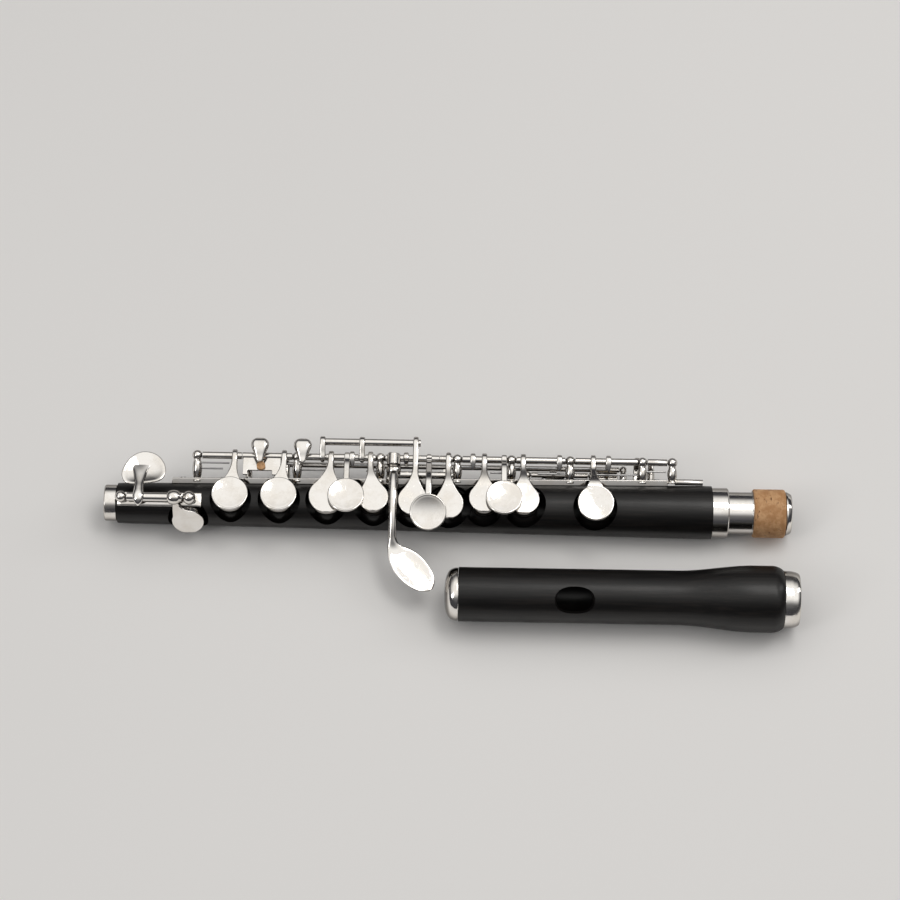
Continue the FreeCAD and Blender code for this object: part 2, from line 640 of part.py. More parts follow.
def head_tube():
    """The wooden head joint: bore, socket, bulb and blow hole."""
    bottom = HEAD_END - SOCKET_DEPTH
    profile = [(HEAD_START, 0), (HEAD_START, HEAD_RADIUS - 0.2), (HEAD_START + 0.2, HEAD_RADIUS)]
    steps = 8
    for i in range(steps + 1):
        t = i / steps
        x = BULB_START + (BULB_FULL - BULB_START) * t
        swell = t * t * (3 - 2 * t)
        profile.append((x, HEAD_RADIUS + (BULB_RADIUS - HEAD_RADIUS) * swell))
    profile += [(HEAD_WOOD_END - 3.4, BULB_RADIUS), (HEAD_WOOD_END - 1.6, BULB_RADIUS - 0.35),
                (HEAD_WOOD_END - 0.5, BULB_RADIUS - 0.9), (HEAD_WOOD_END, BULB_RADIUS - 1.4),
                (HEAD_WOOD_END, 0)]
    wood = turned(profile)
    wood = wood.cut(along_x(HEAD_BORE, HEAD_START - 1, bottom + 1))
    wood = wood.cut(along_x(SOCKET_RADIUS + 0.52, bottom, HEAD_END))
    wood = wood.cut(embouchure_hole())
    return head_shift(wood)


def socket_liner():
    """Metal tube that lines the socket."""
    bottom = HEAD_END - SOCKET_DEPTH
    tube = along_x(SOCKET_RADIUS + 0.5, bottom + 0.02, HEAD_WOOD_END)
    tube = tube.cut(along_x(SOCKET_RADIUS, bottom, HEAD_END))
    return head_shift(tube)


def head_ferrule():
    """Silver ferrule round the mouth of the socket."""
    ring = turned([(HEAD_WOOD_END + 0.02, SOCKET_RADIUS), (HEAD_WOOD_END + 0.02, FERRULE_MOUTH),
                   (HEAD_END - 2.4, FERRULE_MOUTH - 0.1), (HEAD_END - 1.0, FERRULE_MOUTH - 0.4),
                   (HEAD_END - 0.3, FERRULE_MOUTH - 0.75), (HEAD_END, SOCKET_RADIUS + 0.25),
                   (HEAD_END, SOCKET_RADIUS)])
    return head_shift(ring)


def head_crown():
    """Silver cap of the closed end, with a spigot in the bore."""
    cap = turned([(CROWN_START, 0), (CROWN_START + 0.15, 3.2), (CROWN_START + 0.7, 5.8),
                  (CROWN_START + 1.7, 7.5), (CROWN_START + 2.8, 8.1), (HEAD_START - 0.4, 8.3),
                  (HEAD_START - 0.05, 8.15), (HEAD_START - 0.05, 5.35), (HEAD_START + 5.0, 5.35),
                  (HEAD_START + 5.0, 0)])
    return head_shift(cap)


def stopper():
    """Cork stopper and the metal plate that faces the blow hole."""
    face = EMBOUCHURE_X - STOPPER_GAP
    cork = along_x(HEAD_BORE - 0.05, face - 11.0, face - 0.62)
    plate = along_x(HEAD_BORE - 0.1, face - 0.6, face)
    screw = along_x(1.0, HEAD_START + 5.1, face - 11.02)
    return head_shift(cork), head_shift(plate), head_shift(screw)


# ---------------------------------------------------------------- assembly


def write(name, solids):
    """Keep a finished sub-part, which may be a group of separate solids."""
    group = solids if isinstance(solids, (list, tuple)) else [solids]
    separate = [solid for shape in group for solid in shape.Solids]
    PARTS[name] = separate[0] if len(separate) == 1 else Part.makeCompound(separate)
    if not PARTS[name].isValid():
        print("not valid:", name)


def export():
    """Put the origin under the middle of the whole part and write the STEP files."""
    boxes = [shape.optimalBoundingBox(False, False) for shape in PARTS.values()]
    middle_x = (min(b.XMin for b in boxes) + max(b.XMax for b in boxes)) / 2
    middle_y = (min(b.YMin for b in boxes) + max(b.YMax for b in boxes)) / 2
    floor = min(b.ZMin for b in boxes)
    print("origin at", middle_x, middle_y, floor)
    for name, shape in PARTS.items():
        placed = shape.copy()
        placed.translate(V(-middle_x, -middle_y, -floor))
        placed.exportStep("parts/%s.step" % name)


def main():
    os.makedirs("parts", exist_ok=True)
    cutters = [tone_hole_cutter(k.x, k.angle) for k in MAIN_KEYS + (D_SHARP_KEY,)]
    cutters.append(tone_hole_cutter(THUMB_KEY.x, THUMB_KEY.angle, 2.4, 6.0))
    cutters += [tone_hole_cutter(k.x, k.angle, 1.6, 4.9) for k in TRILL_KEYS]

    write("body_tube", body_tube(cutters))
    write("foot_ring", foot_ring())
    write("body_ferrule", body_ferrule())
    write("tenon_sleeve", tenon_sleeve())
    write("tenon_cork", tenon_cork())
    write("tenon_end_ring", tenon_end_ring())

    write("main_rib", rib(RIB_START, RIB_END, MAIN_ANGLE, RIB_WIDTH, RIB_THICKNESS))
    write("rib_screws", rib_screws())
    write("main_posts", [post(x, MAIN_ROD, wood_radius(x) + RIB_THICKNESS + 0.02) for x in MAIN_POSTS])
    write("main_pivot_rod", pivot_rod(MAIN_ROD, 27.6, 179.6))
    write("end_spacer_tube", bored(hinge_tube(MAIN_ROD, 170.45, 176.75), MAIN_ROD, 170, 177))
    tail = radial_point(TAIL_RADIUS, MAIN_ROD)
    write("tail_bar", along_x(0.95, 179.2, 188.0, *tail))
    write("needle_springs", needle_springs())

    write("foot_key_base", rib(4.5, 30.8, -FOOT_ROD_ANGLE, 4.4, 0.8))
    write("foot_key_posts", [post(5.9, FOOT_ROD, wood_radius(5.9) + 0.82, 1.8, 0.8),
                             post(27.2, FOOT_ROD, wood_radius(27.2) + 0.82, 2.1)])
    write("foot_key_pivot_rod", pivot_rod(FOOT_ROD, 4.5, 28.9))
    write("lever_posts", post_group((89.2, 108.8), LEVER_ROD, 0.85, 0.6))
    write("lever_pivot_rod", pivot_rod(LEVER_ROD, 88.4, 109.5))
    trill_posts = []
    for line, (start, end) in zip(TRILL_RODS, [k.tube for k in TRILL_KEYS]):
        trill_posts += post_group((start - 1.2, end + 1.2), line, 1.2, 0.75)
    write("trill_posts", trill_posts)
    rods = [pivot_rod(line, k.tube[0] - 2.1, k.tube[1] + 2.1) for line, k in zip(TRILL_RODS, TRILL_KEYS)]
    write("trill_pivot_rods", rods)
    write("thumb_posts", post_group((132.8, 153.2), THUMB_ROD, 1.2, 0.75))
    write("thumb_pivot_rod", pivot_rod(THUMB_ROD, 131.9, 154.1))

    write("d_key", opened(main_key(D_KEY, disc=True)))
    write("e_key", opened(e_key()))
    write("f_key", opened(main_key(F_KEY, [side_touch(76.05, F_KEY), lug(77.6)])))
    write("f_sharp_key", opened(main_key(F_SHARP_KEY)))
    write("g_touch", opened(g_touch()))
    write("g_key", opened(g_key()))
    write("g_sharp_key", main_key(G_SHARP_KEY))
    write("g_sharp_lever", g_sharp_lever())
    write("a_key", opened(main_key(A_KEY, [side_touch(125.4, A_KEY), lug(115.6)])))
    write("b_flat_key", opened(main_key(B_FLAT_KEY, [lug(142.8)])))
    write("c_key", opened(main_key(C_KEY, [lug(158.2)], disc=True)))
    write("thumb_key", turn_about(thumb_key(), THUMB_ROD, 14.0))
    write("trill_key_1", trill_key(0))
    write("trill_key_2", trill_key(1))
    write("d_sharp_key", d_sharp_key())

    for name, key in (("d", D_KEY), ("e", E_KEY), ("f", F_KEY), ("f_sharp", F_SHARP_KEY),
                      ("g", G_KEY), ("a", A_KEY), ("b_flat", B_FLAT_KEY), ("c", C_KEY)):
        write(name + "_pad", opened(closed_pad(key)))
    write("g_sharp_pad", closed_pad(G_SHARP_KEY))
    write("d_sharp_pad", closed_pad(D_SHARP_KEY))
    write("thumb_pad", turn_about(closed_pad(THUMB_KEY), THUMB_ROD, 14.0))
    write("trill_pad_1", closed_pad(TRILL_KEYS[0]))
    write("trill_pad_2", closed_pad(TRILL_KEYS[1]))
    cork = Part.makeCylinder(1.35, 0.9, V(49.1, 9.6, 8.32))
    write("e_bumper", cork)

    write("head_tube", head_tube())
    write("socket_liner", socket_liner())
    write("head_ferrule", head_ferrule())
    write("head_crown", head_crown())
    cork, plate, screw = stopper()
    write("stopper_cork", cork)
    write("stopper_plate", plate)
    write("stopper_screw", screw)
    export()


main()
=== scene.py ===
"""Looks of a wooden piccolo in two joints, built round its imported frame.

The keyed body joint lies with its keys up, and the head joint lies in front of it. Sizes are in millimetres
along the body joint's own axes: X from the foot, Y towards the key rods, Z up from the bore axis.
"""

from __future__ import annotations

import logging
import math
from dataclasses import dataclass
from enum import Enum
from typing import Iterable, Sequence

import bmesh
import bpy
from mathutils import Matrix, Vector


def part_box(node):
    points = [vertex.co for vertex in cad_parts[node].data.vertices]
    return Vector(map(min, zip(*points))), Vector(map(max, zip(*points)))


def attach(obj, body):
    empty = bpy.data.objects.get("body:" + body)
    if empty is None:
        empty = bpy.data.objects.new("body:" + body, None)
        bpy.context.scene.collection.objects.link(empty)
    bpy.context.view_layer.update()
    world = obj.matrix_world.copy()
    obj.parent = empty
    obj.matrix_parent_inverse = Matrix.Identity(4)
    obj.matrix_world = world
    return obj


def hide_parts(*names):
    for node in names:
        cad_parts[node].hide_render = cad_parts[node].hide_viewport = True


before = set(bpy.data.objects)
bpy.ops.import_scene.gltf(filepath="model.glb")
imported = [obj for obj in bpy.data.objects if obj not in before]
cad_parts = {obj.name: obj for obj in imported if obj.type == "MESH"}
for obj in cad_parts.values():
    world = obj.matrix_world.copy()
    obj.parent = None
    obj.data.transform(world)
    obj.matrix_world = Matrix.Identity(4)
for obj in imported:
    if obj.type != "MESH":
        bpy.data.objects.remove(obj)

MM = 0.001
# direction towards the main camera: silver plate gets painted shade, a darker colour, on faces that turn
# away from it
FRONT_ABOVE = (0.0, -0.42, 0.907)
Pair = tuple[float, float]
Triple = tuple[float, float, float]
log = logging.getLogger("piccolo")


class Slot(Enum):
    """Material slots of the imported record."""

    WOOD = "grenadilla"
    SILVER = "silver_plate"
    STEEL = "spring_steel"
    CORK = "cork"
    SKIN = "pad_skin"


# ------------------------------------------------------------------ places


class Layout:
    """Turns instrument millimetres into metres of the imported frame."""

    def __init__(self) -> None:
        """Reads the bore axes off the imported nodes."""
        ring_low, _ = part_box("foot_ring")
        cork_low, cork_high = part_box("tenon_cork")
        middle = (cork_low + cork_high) / 2
        self.origin = Vector((ring_low.x, middle.y, middle.z))
        low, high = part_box("head_ferrule")
        self.head_axis = self.local((low + high) / 2)

    def local(self, point: Vector) -> Vector:
        """Gives a frame point in instrument millimetres."""
        return (point - self.origin) / MM

    def at(self, x: float, y: float = 0.0, z: float = 0.0) -> Vector:
        """Gives an instrument point in frame metres."""
        return self.origin + Vector((x, y, z)) * MM

    def rod(self, node: str) -> Pair:
        """Gives the (y, z) of the line that a rod node lies on.

        Args:
            node: The rod node's name.

        Returns:
            The line, in instrument millimetres.
        """
        low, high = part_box(node)
        middle = self.local((low + high) / 2)
        return (middle.y, middle.z)

    def along(self, line: Pair = (0.0, 0.0)) -> Matrix:
        """Gives the placing of a shape drawn in millimetres about a line along X.

        Args:
            line: The (y, z) of the line.

        Returns:
            A matrix from the shape's millimetres to frame metres.
        """
        return Matrix.Translation(self.at(0, *line)) @ Matrix.Scale(MM, 4)

    def radial(self, angle: float, x: float = 0.0) -> Matrix:
        """Gives the placing of a shape drawn with Z standing out of the body at an angle.

        Args:
            angle: Turn about the bore axis in degrees, positive from the top towards the front.
            x: Place along the body.

        Returns:
            A matrix from the shape's millimetres to frame metres.
        """
        turn = Matrix.Rotation(math.radians(angle), 4, "X")
        return Matrix.Translation(self.at(x)) @ turn @ Matrix.Scale(MM, 4)


# ------------------------------------------------------------------ shading


class ShaderGraph:
    """Places and joins the nodes of one node tree."""

    def __init__(self, tree: bpy.types.NodeTree) -> None:
        """Keeps the tree to work in."""
        self.tree = tree

    def add(self, kind: str, **settings: object) -> bpy.types.Node:
        """Adds a node and sets its own properties.

        Args:
            kind: The node's type.
            **settings: Its properties.

        Returns:
            The node.
        """
        node = self.tree.nodes.new(kind)
        for name, value in settings.items():
            setattr(node, name, value)
        return node

    def put(self, socket: bpy.types.NodeSocket, value: object) -> None:
        """Joins a socket to another one, or sets it to a plain value."""
        if isinstance(value, bpy.types.NodeSocket):
            self.tree.links.new(value, socket)
        else:
            socket.default_value = value

    def coordinates(self) -> bpy.types.NodeSocket:
        """Gives the piece's own coordinates, in metres."""
        return self.add("ShaderNodeTexCoord").outputs["Object"]

    def stretched(self, scale: Sequence[object]) -> bpy.types.NodeSocket:
        """Gives the piece's coordinates multiplied by one factor for each axis.

        Args:
            scale: The three factors, sockets or numbers.

        Returns:
            The scaled coordinates.
        """
        product = self.add("ShaderNodeVectorMath", operation="MULTIPLY")
        self.put(product.inputs[0], self.coordinates())
        factors = self.add("ShaderNodeCombineXYZ")
        for socket, value in zip(factors.inputs, scale):
            self.put(socket, value)
        self.put(product.inputs[1], factors.outputs[0])
        return product.outputs[0]

    def noise(self, vector: object, scale: object, detail: float = 3.0,
              rough: float = 0.55) -> bpy.types.NodeSocket:
        """Adds a noise and gives its value.

        Args:
            vector: Where it is read.
            scale: Its scale.
            detail: Its detail.
            rough: How strong its fine parts are.

        Returns:
            Its value.
        """
        node = self.add("ShaderNodeTexNoise")
        self.put(node.inputs["Vector"], vector)
        self.put(node.inputs["Scale"], scale)
        self.put(node.inputs["Detail"], detail)
        self.put(node.inputs["Roughness"], rough)
        return node.outputs[0]

    def cells(self, vector: object, scale: object, feature: str = "F1") -> bpy.types.NodeSocket:
        """Adds a pattern of cells and gives the distance in each.

        Args:
            vector: Where they are read.
            scale: Their scale.
            feature: Which distance is wanted.

        Returns:
            The distance.
        """
        node = self.add("ShaderNodeTexVoronoi", feature=feature)
        self.put(node.inputs["Vector"], vector)
        self.put(node.inputs["Scale"], scale)
        return node.outputs["Distance"]

    def span(self, value: object, low: float, high: float, start: object = 0.0,
             end: object = 1.0) -> bpy.types.NodeSocket:
        """Maps a value from one range to another and clamps it.

        Args:
            value: The value to map.
            low: The value that gives start.
            high: The value that gives end.
            start: The lowest result.
            end: The highest result.

        Returns:
            The mapped value.
        """
        node = self.add("ShaderNodeMapRange", interpolation_type="SMOOTHSTEP")
        for name, item in zip(("Value", "From Min", "From Max", "To Min", "To Max"),
                              (value, low, high, start, end)):
            self.put(node.inputs[name], item)
        return node.outputs[0]

    def sum(self, kind: str, first: object, second: object) -> bpy.types.NodeSocket:
        """Adds a math node of one kind and gives its result.

        Args:
            kind: The operation.
            first: The first value.
            second: The second value.

        Returns:
            The result.
        """
        node = self.add("ShaderNodeMath", operation=kind)
        self.put(node.inputs[0], first)
        self.put(node.inputs[1], second)
        return node.outputs[0]

    def blend(self, share: object, first: object, second: object) -> bpy.types.NodeSocket:
        """Mixes two colours.

        Args:
            share: How much of the second is mixed in.
            first: The first colour.
            second: The second colour.

        Returns:
            The mixed colour.
        """
        node = self.add("ShaderNodeMix", data_type="RGBA")
        self.put(node.inputs[0], share)
        self.put(node.inputs[6], first)
        self.put(node.inputs[7], second)
        return node.outputs[2]

    def bump(self, height: object, distance: float, strength: float) -> bpy.types.NodeSocket:
        """Turns a height into a normal.

        Args:
            height: The height.
            distance: Its full size in metres.
            strength: Its strength.

        Returns:
            The normal.
        """
        node = self.add("ShaderNodeBump")
        self.put(node.inputs["Height"], height)
        node.inputs["Distance"].default_value = distance
        node.inputs["Strength"].default_value = strength
        return node.outputs["Normal"]


class Effect(Enum):
    """Surface effects that several finishes share."""

    HANDLING = "handling_marks"
    DRAWN = "drawn_lines"
    TURNED = "turned_rings"
    FIBRE = "wood_fibre"
    CORK_CELLS = "cork_cells"
    CREASES = "skin_creases"
    SIDES = "sides_away_from_camera"


class EffectGroups:
    """Builds each effect's node group the first time that a finish asks for it."""

    sockets = {
        Effect.HANDLING: (("Smudge Scale", "Scratch Scale"), ("Smudge", "Scratch")),
        Effect.DRAWN: (("Line Scale",), ("Lines",)),
        Effect.TURNED: (("Ring Scale",), ("Rings",)),
        Effect.FIBRE: (("Grain Scale", "Length"), ("Fibre", "Pores")),
        Effect.CORK_CELLS: (("Cell Scale",), ("Cells", "Pores")),
        Effect.CREASES: (("Crease Scale",), ("Creases", "Mottle")),
        Effect.SIDES: ((), ("Sides",)),
    }

    def __init__(self) -> None:
        """Starts with no group built."""
        self.built: dict[Effect, bpy.types.NodeTree] = {}

    def place(self, graph: ShaderGraph, effect: Effect, **values: float) -> bpy.types.Node:
        """Places an effect in a material.

        Args:
            graph: The material's graph.
            effect: Which effect.
            **values: Its inputs by name, with _ for a space.

        Returns:
            The group node, whose outputs hold the effect's masks.
        """
        if effect not in self.built:
            self.built[effect] = self.build(effect)
        node = graph.add("ShaderNodeGroup", node_tree=self.built[effect])
        for name, value in values.items():
            node.inputs[name.replace("_", " ")].default_value = value
        return node

    def build(self, effect: Effect) -> bpy.types.NodeTree:
        """Makes an effect's node group with its named sockets.

        Args:
            effect: Which effect.

        Returns:
            The group.
        """
        tree = bpy.data.node_groups.new(effect.value, "ShaderNodeTree")
        inputs, outputs = self.sockets[effect]
        for name in inputs:
            tree.interface.new_socket(name, in_out="INPUT", socket_type="NodeSocketFloat")
        for name in outputs:
            tree.interface.new_socket(name, in_out="OUTPUT", socket_type="NodeSocketFloat")
        graph = ShaderGraph(tree)
        given = graph.add("NodeGroupInput")
        made = graph.add("NodeGroupOutput")
        results = getattr(self, effect.value)(graph, [given.outputs[name] for name in inputs])
        for name, value in zip(outputs, results):
            graph.put(made.inputs[name], value)
        return tree

    @staticmethod
    def handling_marks(graph: ShaderGraph, inputs: list) -> list:
        """Finger smudges, and hairline scratches that run two ways.

        Args:
            graph: The group's graph.
            inputs: The smudge and scratch scales.

        Returns:
            The smudge and scratch masks.
        """
        smudge_scale, scratch_scale = inputs
        cloud = graph.noise(graph.coordinates(), smudge_scale, 5.0, 0.62)
        smudge = graph.span(cloud, 0.38, 0.68)
        short = graph.sum("MULTIPLY", scratch_scale, 0.04)
        first = graph.noise(graph.stretched((scratch_scale, short, short)), 1.0, 2.0)
        second = graph.noise(graph.stretched((short, scratch_scale, short)), 1.0, 2.0)
        hairs = graph.sum("MAXIMUM", graph.span(first, 0.66, 0.72), graph.span(second, 0.66, 0.72))
        return [smudge, hairs]

    @staticmethod
    def drawn_lines(graph: ShaderGraph, inputs: list) -> list:
        """Fine lines along X, as on drawn rod.

        Args:
            graph: The group's graph.
            inputs: The line scale.

        Returns:
            The lines.
        """
        across = graph.sum("MULTIPLY", inputs[0], 1.0)
        along = graph.sum("MULTIPLY", inputs[0], 0.015)
        return [graph.noise(graph.stretched((along, across, across)), 1.0, 2.0)]

    @staticmethod
    def turned_rings(graph: ShaderGraph, inputs: list) -> list:
        """Faint rings round the X axis that a lathe tool leaves."""
        return [graph.noise(graph.stretched((inputs[0], 0.0, 0.0)), 1.0, 3.0, 0.7)]

    @staticmethod
    def wood_fibre(graph: ShaderGraph, inputs: list) -> list:
        """Long fibres and short open pores along X.

        Args:
            graph: The group's graph.
            inputs: The grain scale and length.

        Returns:
            The fibre and pore masks.
        """
        scale, length = inputs
        along = graph.sum("DIVIDE", scale, length)
        fibre = graph.noise(graph.stretched((along, scale, scale)), 1.0, 4.0, 0.6)
        fine = graph.sum("MULTIPLY", scale, 3.2)
        short = graph.sum("MULTIPLY", along, 5.0)
        pore = graph.noise(graph.stretched((short, fine, fine)), 1.0, 1.0)
        return [fibre, graph.span(pore, 0.62, 0.72)]

    @staticmethod
    def cork_cells(graph: ShaderGraph, inputs: list) -> list:
        """Small pale cells, and dark pores of uneven size.

        Args:
            graph: The group's graph.
            inputs: The cell scale.

        Returns:
            The cells and the pore mask.
        """
        cells = graph.cells(graph.coordinates(), inputs[0])
        wide = graph.sum("MULTIPLY", inputs[0], 0.42)
        warp = graph.noise(graph.coordinates(), wide, 4.0, 0.7)
        along = graph.sum("MULTIPLY", wide, 0.45)
        blotch = graph.noise(graph.stretched((wide, along, wide)), 1.0, 3.0, 0.65)
        pores = graph.sum("MULTIPLY", graph.span(blotch, 0.60, 0.66), graph.span(warp, 0.42, 0.55))
        return [cells, pores]

    @staticmethod
    def sides_away_from_camera(graph: ShaderGraph, inputs: list) -> list:
        """Finds faces that turn away from one fixed direction, up and to the front.

        The direction is chosen for the look, and points to where the main camera stands. Silver plate uses
        the mask for painted shade, darkening its faces that turn away from the camera.
        It is a constant of the frame and isn't read from the camera, so other views keep it.

        Args:
            graph: The group's graph.
            inputs: Not used.

        Returns:
            The mask.
        """
        turned = graph.add("ShaderNodeVectorMath", operation="DOT_PRODUCT")
        graph.put(turned.inputs[0], graph.add("ShaderNodeNewGeometry").outputs["Normal"])
        turned.inputs[1].default_value = FRONT_ABOVE
        return [graph.span(turned.outputs["Value"], 0.3, 0.72, 1.0, 0.0)]

    @staticmethod
    def skin_creases(graph: ShaderGraph, inputs: list) -> list:
        """Fine creases and a soft mottle of stretched skin.

        Args:
            graph: The group's graph.
            inputs: The crease scale.

        Returns:
            The creases and the mottle.
        """
        edge = graph.cells(graph.coordinates(), inputs[0], "DISTANCE_TO_EDGE")
        mottle = graph.noise(graph.coordinates(), graph.sum("MULTIPLY", inputs[0], 0.3), 3.0)
        return [graph.span(edge, 0.0, 0.06), mottle]


EFFECTS = EffectGroups()


@dataclass(frozen=True)
class Finish:
    """What every finish has: its name, the record's slot and how it is built."""

    name: str
    slot: Slot

    def start(self) -> tuple[bpy.types.Material, ShaderGraph, bpy.types.Node]:
        """Makes an empty material with its shader.

        Returns:
            The material, its graph and its Principled shader.
        """
        material = bpy.data.materials.new(self.name)
        material.use_nodes = True
        material.node_tree.nodes.clear()
        graph = ShaderGraph(material.node_tree)
        shader = graph.add("ShaderNodeBsdfPrincipled")
        graph.put(graph.add("ShaderNodeOutputMaterial").inputs["Surface"], shader.outputs[0])
        return material, graph, shader

    def build(self) -> bpy.types.Material:
        """Makes the material."""
        raise NotImplementedError

    def material(self) -> bpy.types.Material:
        """Gives the material, building it once."""
        return bpy.data.materials.get(self.name) or self.build()


@dataclass(frozen=True)
class SilverPlate(Finish):
    """Bright silver plate with smudges, hairlines and, on rings, tool marks, and painted shade on faces that
    turn away from the main camera.
    """

    slot: Slot = Slot.SILVER
    bright: Triple = (0.955, 0.93, 0.895)
    dulled: Triple = (0.86, 0.82, 0.765)
    # near-black colour of the painted shade on faces turned away from the main camera
    side: Triple = (0.10, 0.085, 0.072)
    painted_shade_share: float = 0.9
    polished: float = 0.055
    smudged: float = 0.17
    rings: float = 0.0

    def build(self) -> bpy.types.Material:
        """Makes the plate's material."""
        material, graph, shader = self.start()
        marks = EFFECTS.place(graph, Effect.HANDLING, Smudge_Scale=170.0, Scratch_Scale=5200.0)
        smudge, scratch = marks.outputs["Smudge"], marks.outputs["Scratch"]
        colour = graph.blend(smudge, (*self.bright, 1), (*self.dulled, 1))
        # painted shade: faces that turn away from the main camera's direction are blended towards the
        # near-black side colour
        sides = EFFECTS.place(graph, Effect.SIDES).outputs["Sides"]
        colour = graph.blend(graph.sum("MULTIPLY", sides, self.painted_shade_share), colour, (*self.side, 1))
        graph.put(shader.inputs["Base Color"], colour)
        rough = graph.span(smudge, 0.0, 1.0, self.polished, self.smudged)
        graph.put(shader.inputs["Roughness"], graph.sum("ADD", rough, graph.sum("MULTIPLY", scratch, 0.06)))
        height = graph.sum("MULTIPLY", scratch, -0.5)
        if self.rings:
            turned = EFFECTS.place(graph, Effect.TURNED, Ring_Scale=4200.0)
            height = graph.sum("ADD", height, graph.sum("MULTIPLY", turned.outputs["Rings"], self.rings))
        graph.put(shader.inputs["Normal"], graph.bump(height, 0.00001, 0.35))
        shader.inputs["Metallic"].default_value = 1.0
        return material


@dataclass(frozen=True)
class SpringSteel(Finish):
    """Grey drawn steel of rods, screws and needle springs."""

    slot: Slot = Slot.STEEL
    pale: Triple = (0.62, 0.61, 0.60)
    dark: Triple = (0.40, 0.40, 0.41)

    def build(self) -> bpy.types.Material:
        """Makes the steel's material."""
        material, graph, shader = self.start()
        lines = EFFECTS.place(graph, Effect.DRAWN, Line_Scale=9000.0).outputs["Lines"]
        share = graph.span(lines, 0.35, 0.65)
        graph.put(shader.inputs["Base Color"], graph.blend(share, (*self.pale, 1), (*self.dark, 1)))
        graph.put(shader.inputs["Roughness"], graph.span(lines, 0.3, 0.7, 0.2, 0.36))
        graph.put(shader.inputs["Normal"], graph.bump(lines, 0.00001, 0.4))
        shader.inputs["Metallic"].default_value = 1.0
        return material


@dataclass(frozen=True)
class Grenadilla(Finish):
    """Near-black oiled wood with a satin sheen, fine grain and open pores."""

    slot: Slot = Slot.WOOD
    dark: Triple = (0.005, 0.0046, 0.0045)
    streak: Triple = (0.014, 0.0115, 0.0105)
    sheen_low: float = 0.38
    sheen_high: float = 0.47
    polish: float = 0.45

    def build(self) -> bpy.types.Material:
        """Makes the wood's material."""
        material, graph, shader = self.start()
        grain = EFFECTS.place(graph, Effect.FIBRE, Grain_Scale=1500.0, Length=26.0)
        marks = EFFECTS.place(graph, Effect.HANDLING, Smudge_Scale=90.0, Scratch_Scale=2600.0)
        fibre, pores = grain.outputs["Fibre"], grain.outputs["Pores"]
        colour = graph.blend(graph.span(fibre, 0.42, 0.72), (*self.dark, 1), (*self.streak, 1))
        graph.put(shader.inputs["Base Color"], graph.blend(pores, colour, (0.003, 0.003, 0.003, 1)))
        rough = graph.span(marks.outputs["Smudge"], 0.0, 1.0, self.sheen_low, self.sheen_high)
        graph.put(shader.inputs["Roughness"], graph.sum("ADD", rough, graph.sum("MULTIPLY", pores, 0.15)))
        height = graph.sum("SUBTRACT", graph.sum("MULTIPLY", fibre, 0.5), pores)
        graph.put(shader.inputs["Normal"], graph.bump(height, 0.00003, 0.5))
        sides = EFFECTS.place(graph, Effect.SIDES).outputs["Sides"]
        graph.put(shader.inputs["Coat Weight"], graph.span(sides, 0.0, 1.0, self.polish, 0.0))
        shader.inputs["Coat Roughness"].default_value = 0.3
        shader.inputs["Specular IOR Level"].default_value = 0.16
        return material


@dataclass(frozen=True)
class Cork(Finish):
    """Tan cork with darker cells and pores."""

    slot: Slot = Slot.CORK
    pale: Triple = (0.60, 0.35, 0.175)
    warm: Triple = (0.44, 0.225, 0.095)
    pore: Triple = (0.13, 0.052, 0.02)

    def build(self) -> bpy.types.Material:
        """Makes the cork's material."""
        material, graph, shader = self.start()
        figure = EFFECTS.place(graph, Effect.CORK_CELLS, Cell_Scale=2100.0)
        cells, pores = figure.outputs["Cells"], figure.outputs["Pores"]
        cloud = graph.noise(graph.coordinates(), 420.0, 3.0)
        base = graph.blend(graph.span(cloud, 0.35, 0.65), (*self.pale, 1), (*self.warm, 1))
        base = graph.blend(graph.span(cells, 0.45, 0.95, 0.0, 0.5), base, (*self.warm, 1))
        graph.put(shader.inputs["Base Color"], graph.blend(pores, base, (*self.pore, 1)))
        graph.put(shader.inputs["Roughness"], graph.span(cells, 0.0, 1.0, 0.72, 0.9))
        height = graph.sum("SUBTRACT", graph.sum("MULTIPLY", cells, -0.3), pores)
        graph.put(shader.inputs["Normal"], graph.bump(height, 0.00012, 0.8))
        return material


@dataclass(frozen=True)
class PadSkin(Finish):
    """Cream skin stretched over a pad's felt."""

    slot: Slot = Slot.SKIN
    pale: Triple = (0.82, 0.70, 0.50)
    warm: Triple = (0.70, 0.53, 0.32)

    def build(self) -> bpy.types.Material:
        """Makes the skin's material."""
        material, graph, shader = self.start()
        figure = EFFECTS.place(graph, Effect.CREASES, Crease_Scale=1600.0)
        mottle, creases = figure.outputs["Mottle"], figure.outputs["Creases"]
        graph.put(shader.inputs["Base Color"], graph.blend(graph.span(mottle, 0.35, 0.7), (*self.pale, 1),
                                                           (*self.warm, 1)))
        graph.put(shader.inputs["Roughness"], graph.span(creases, 0.0, 1.0, 0.62, 0.46))
        graph.put(shader.inputs["Normal"], graph.bump(creases, 0.00004, 0.5))
        return material


KEY_SILVER = SilverPlate("key_silver")
RING_SILVER = SilverPlate("ring_silver", polished=0.08, smudged=0.2, rings=0.5)
STEEL = SpringSteel("drawn_steel")
WOOD = Grenadilla("oiled_grenadilla")
CORK = Cork("tenon_cork_finish")
SKIN = PadSkin("pad_skin_finish")
FINISH_OF_SLOT = {"grenadilla": WOOD, "silver_plate": KEY_SILVER, "spring_steel": STEEL, "cork": CORK,
                  "pad_skin": SKIN}


# ------------------------------------------------------------------ shapes


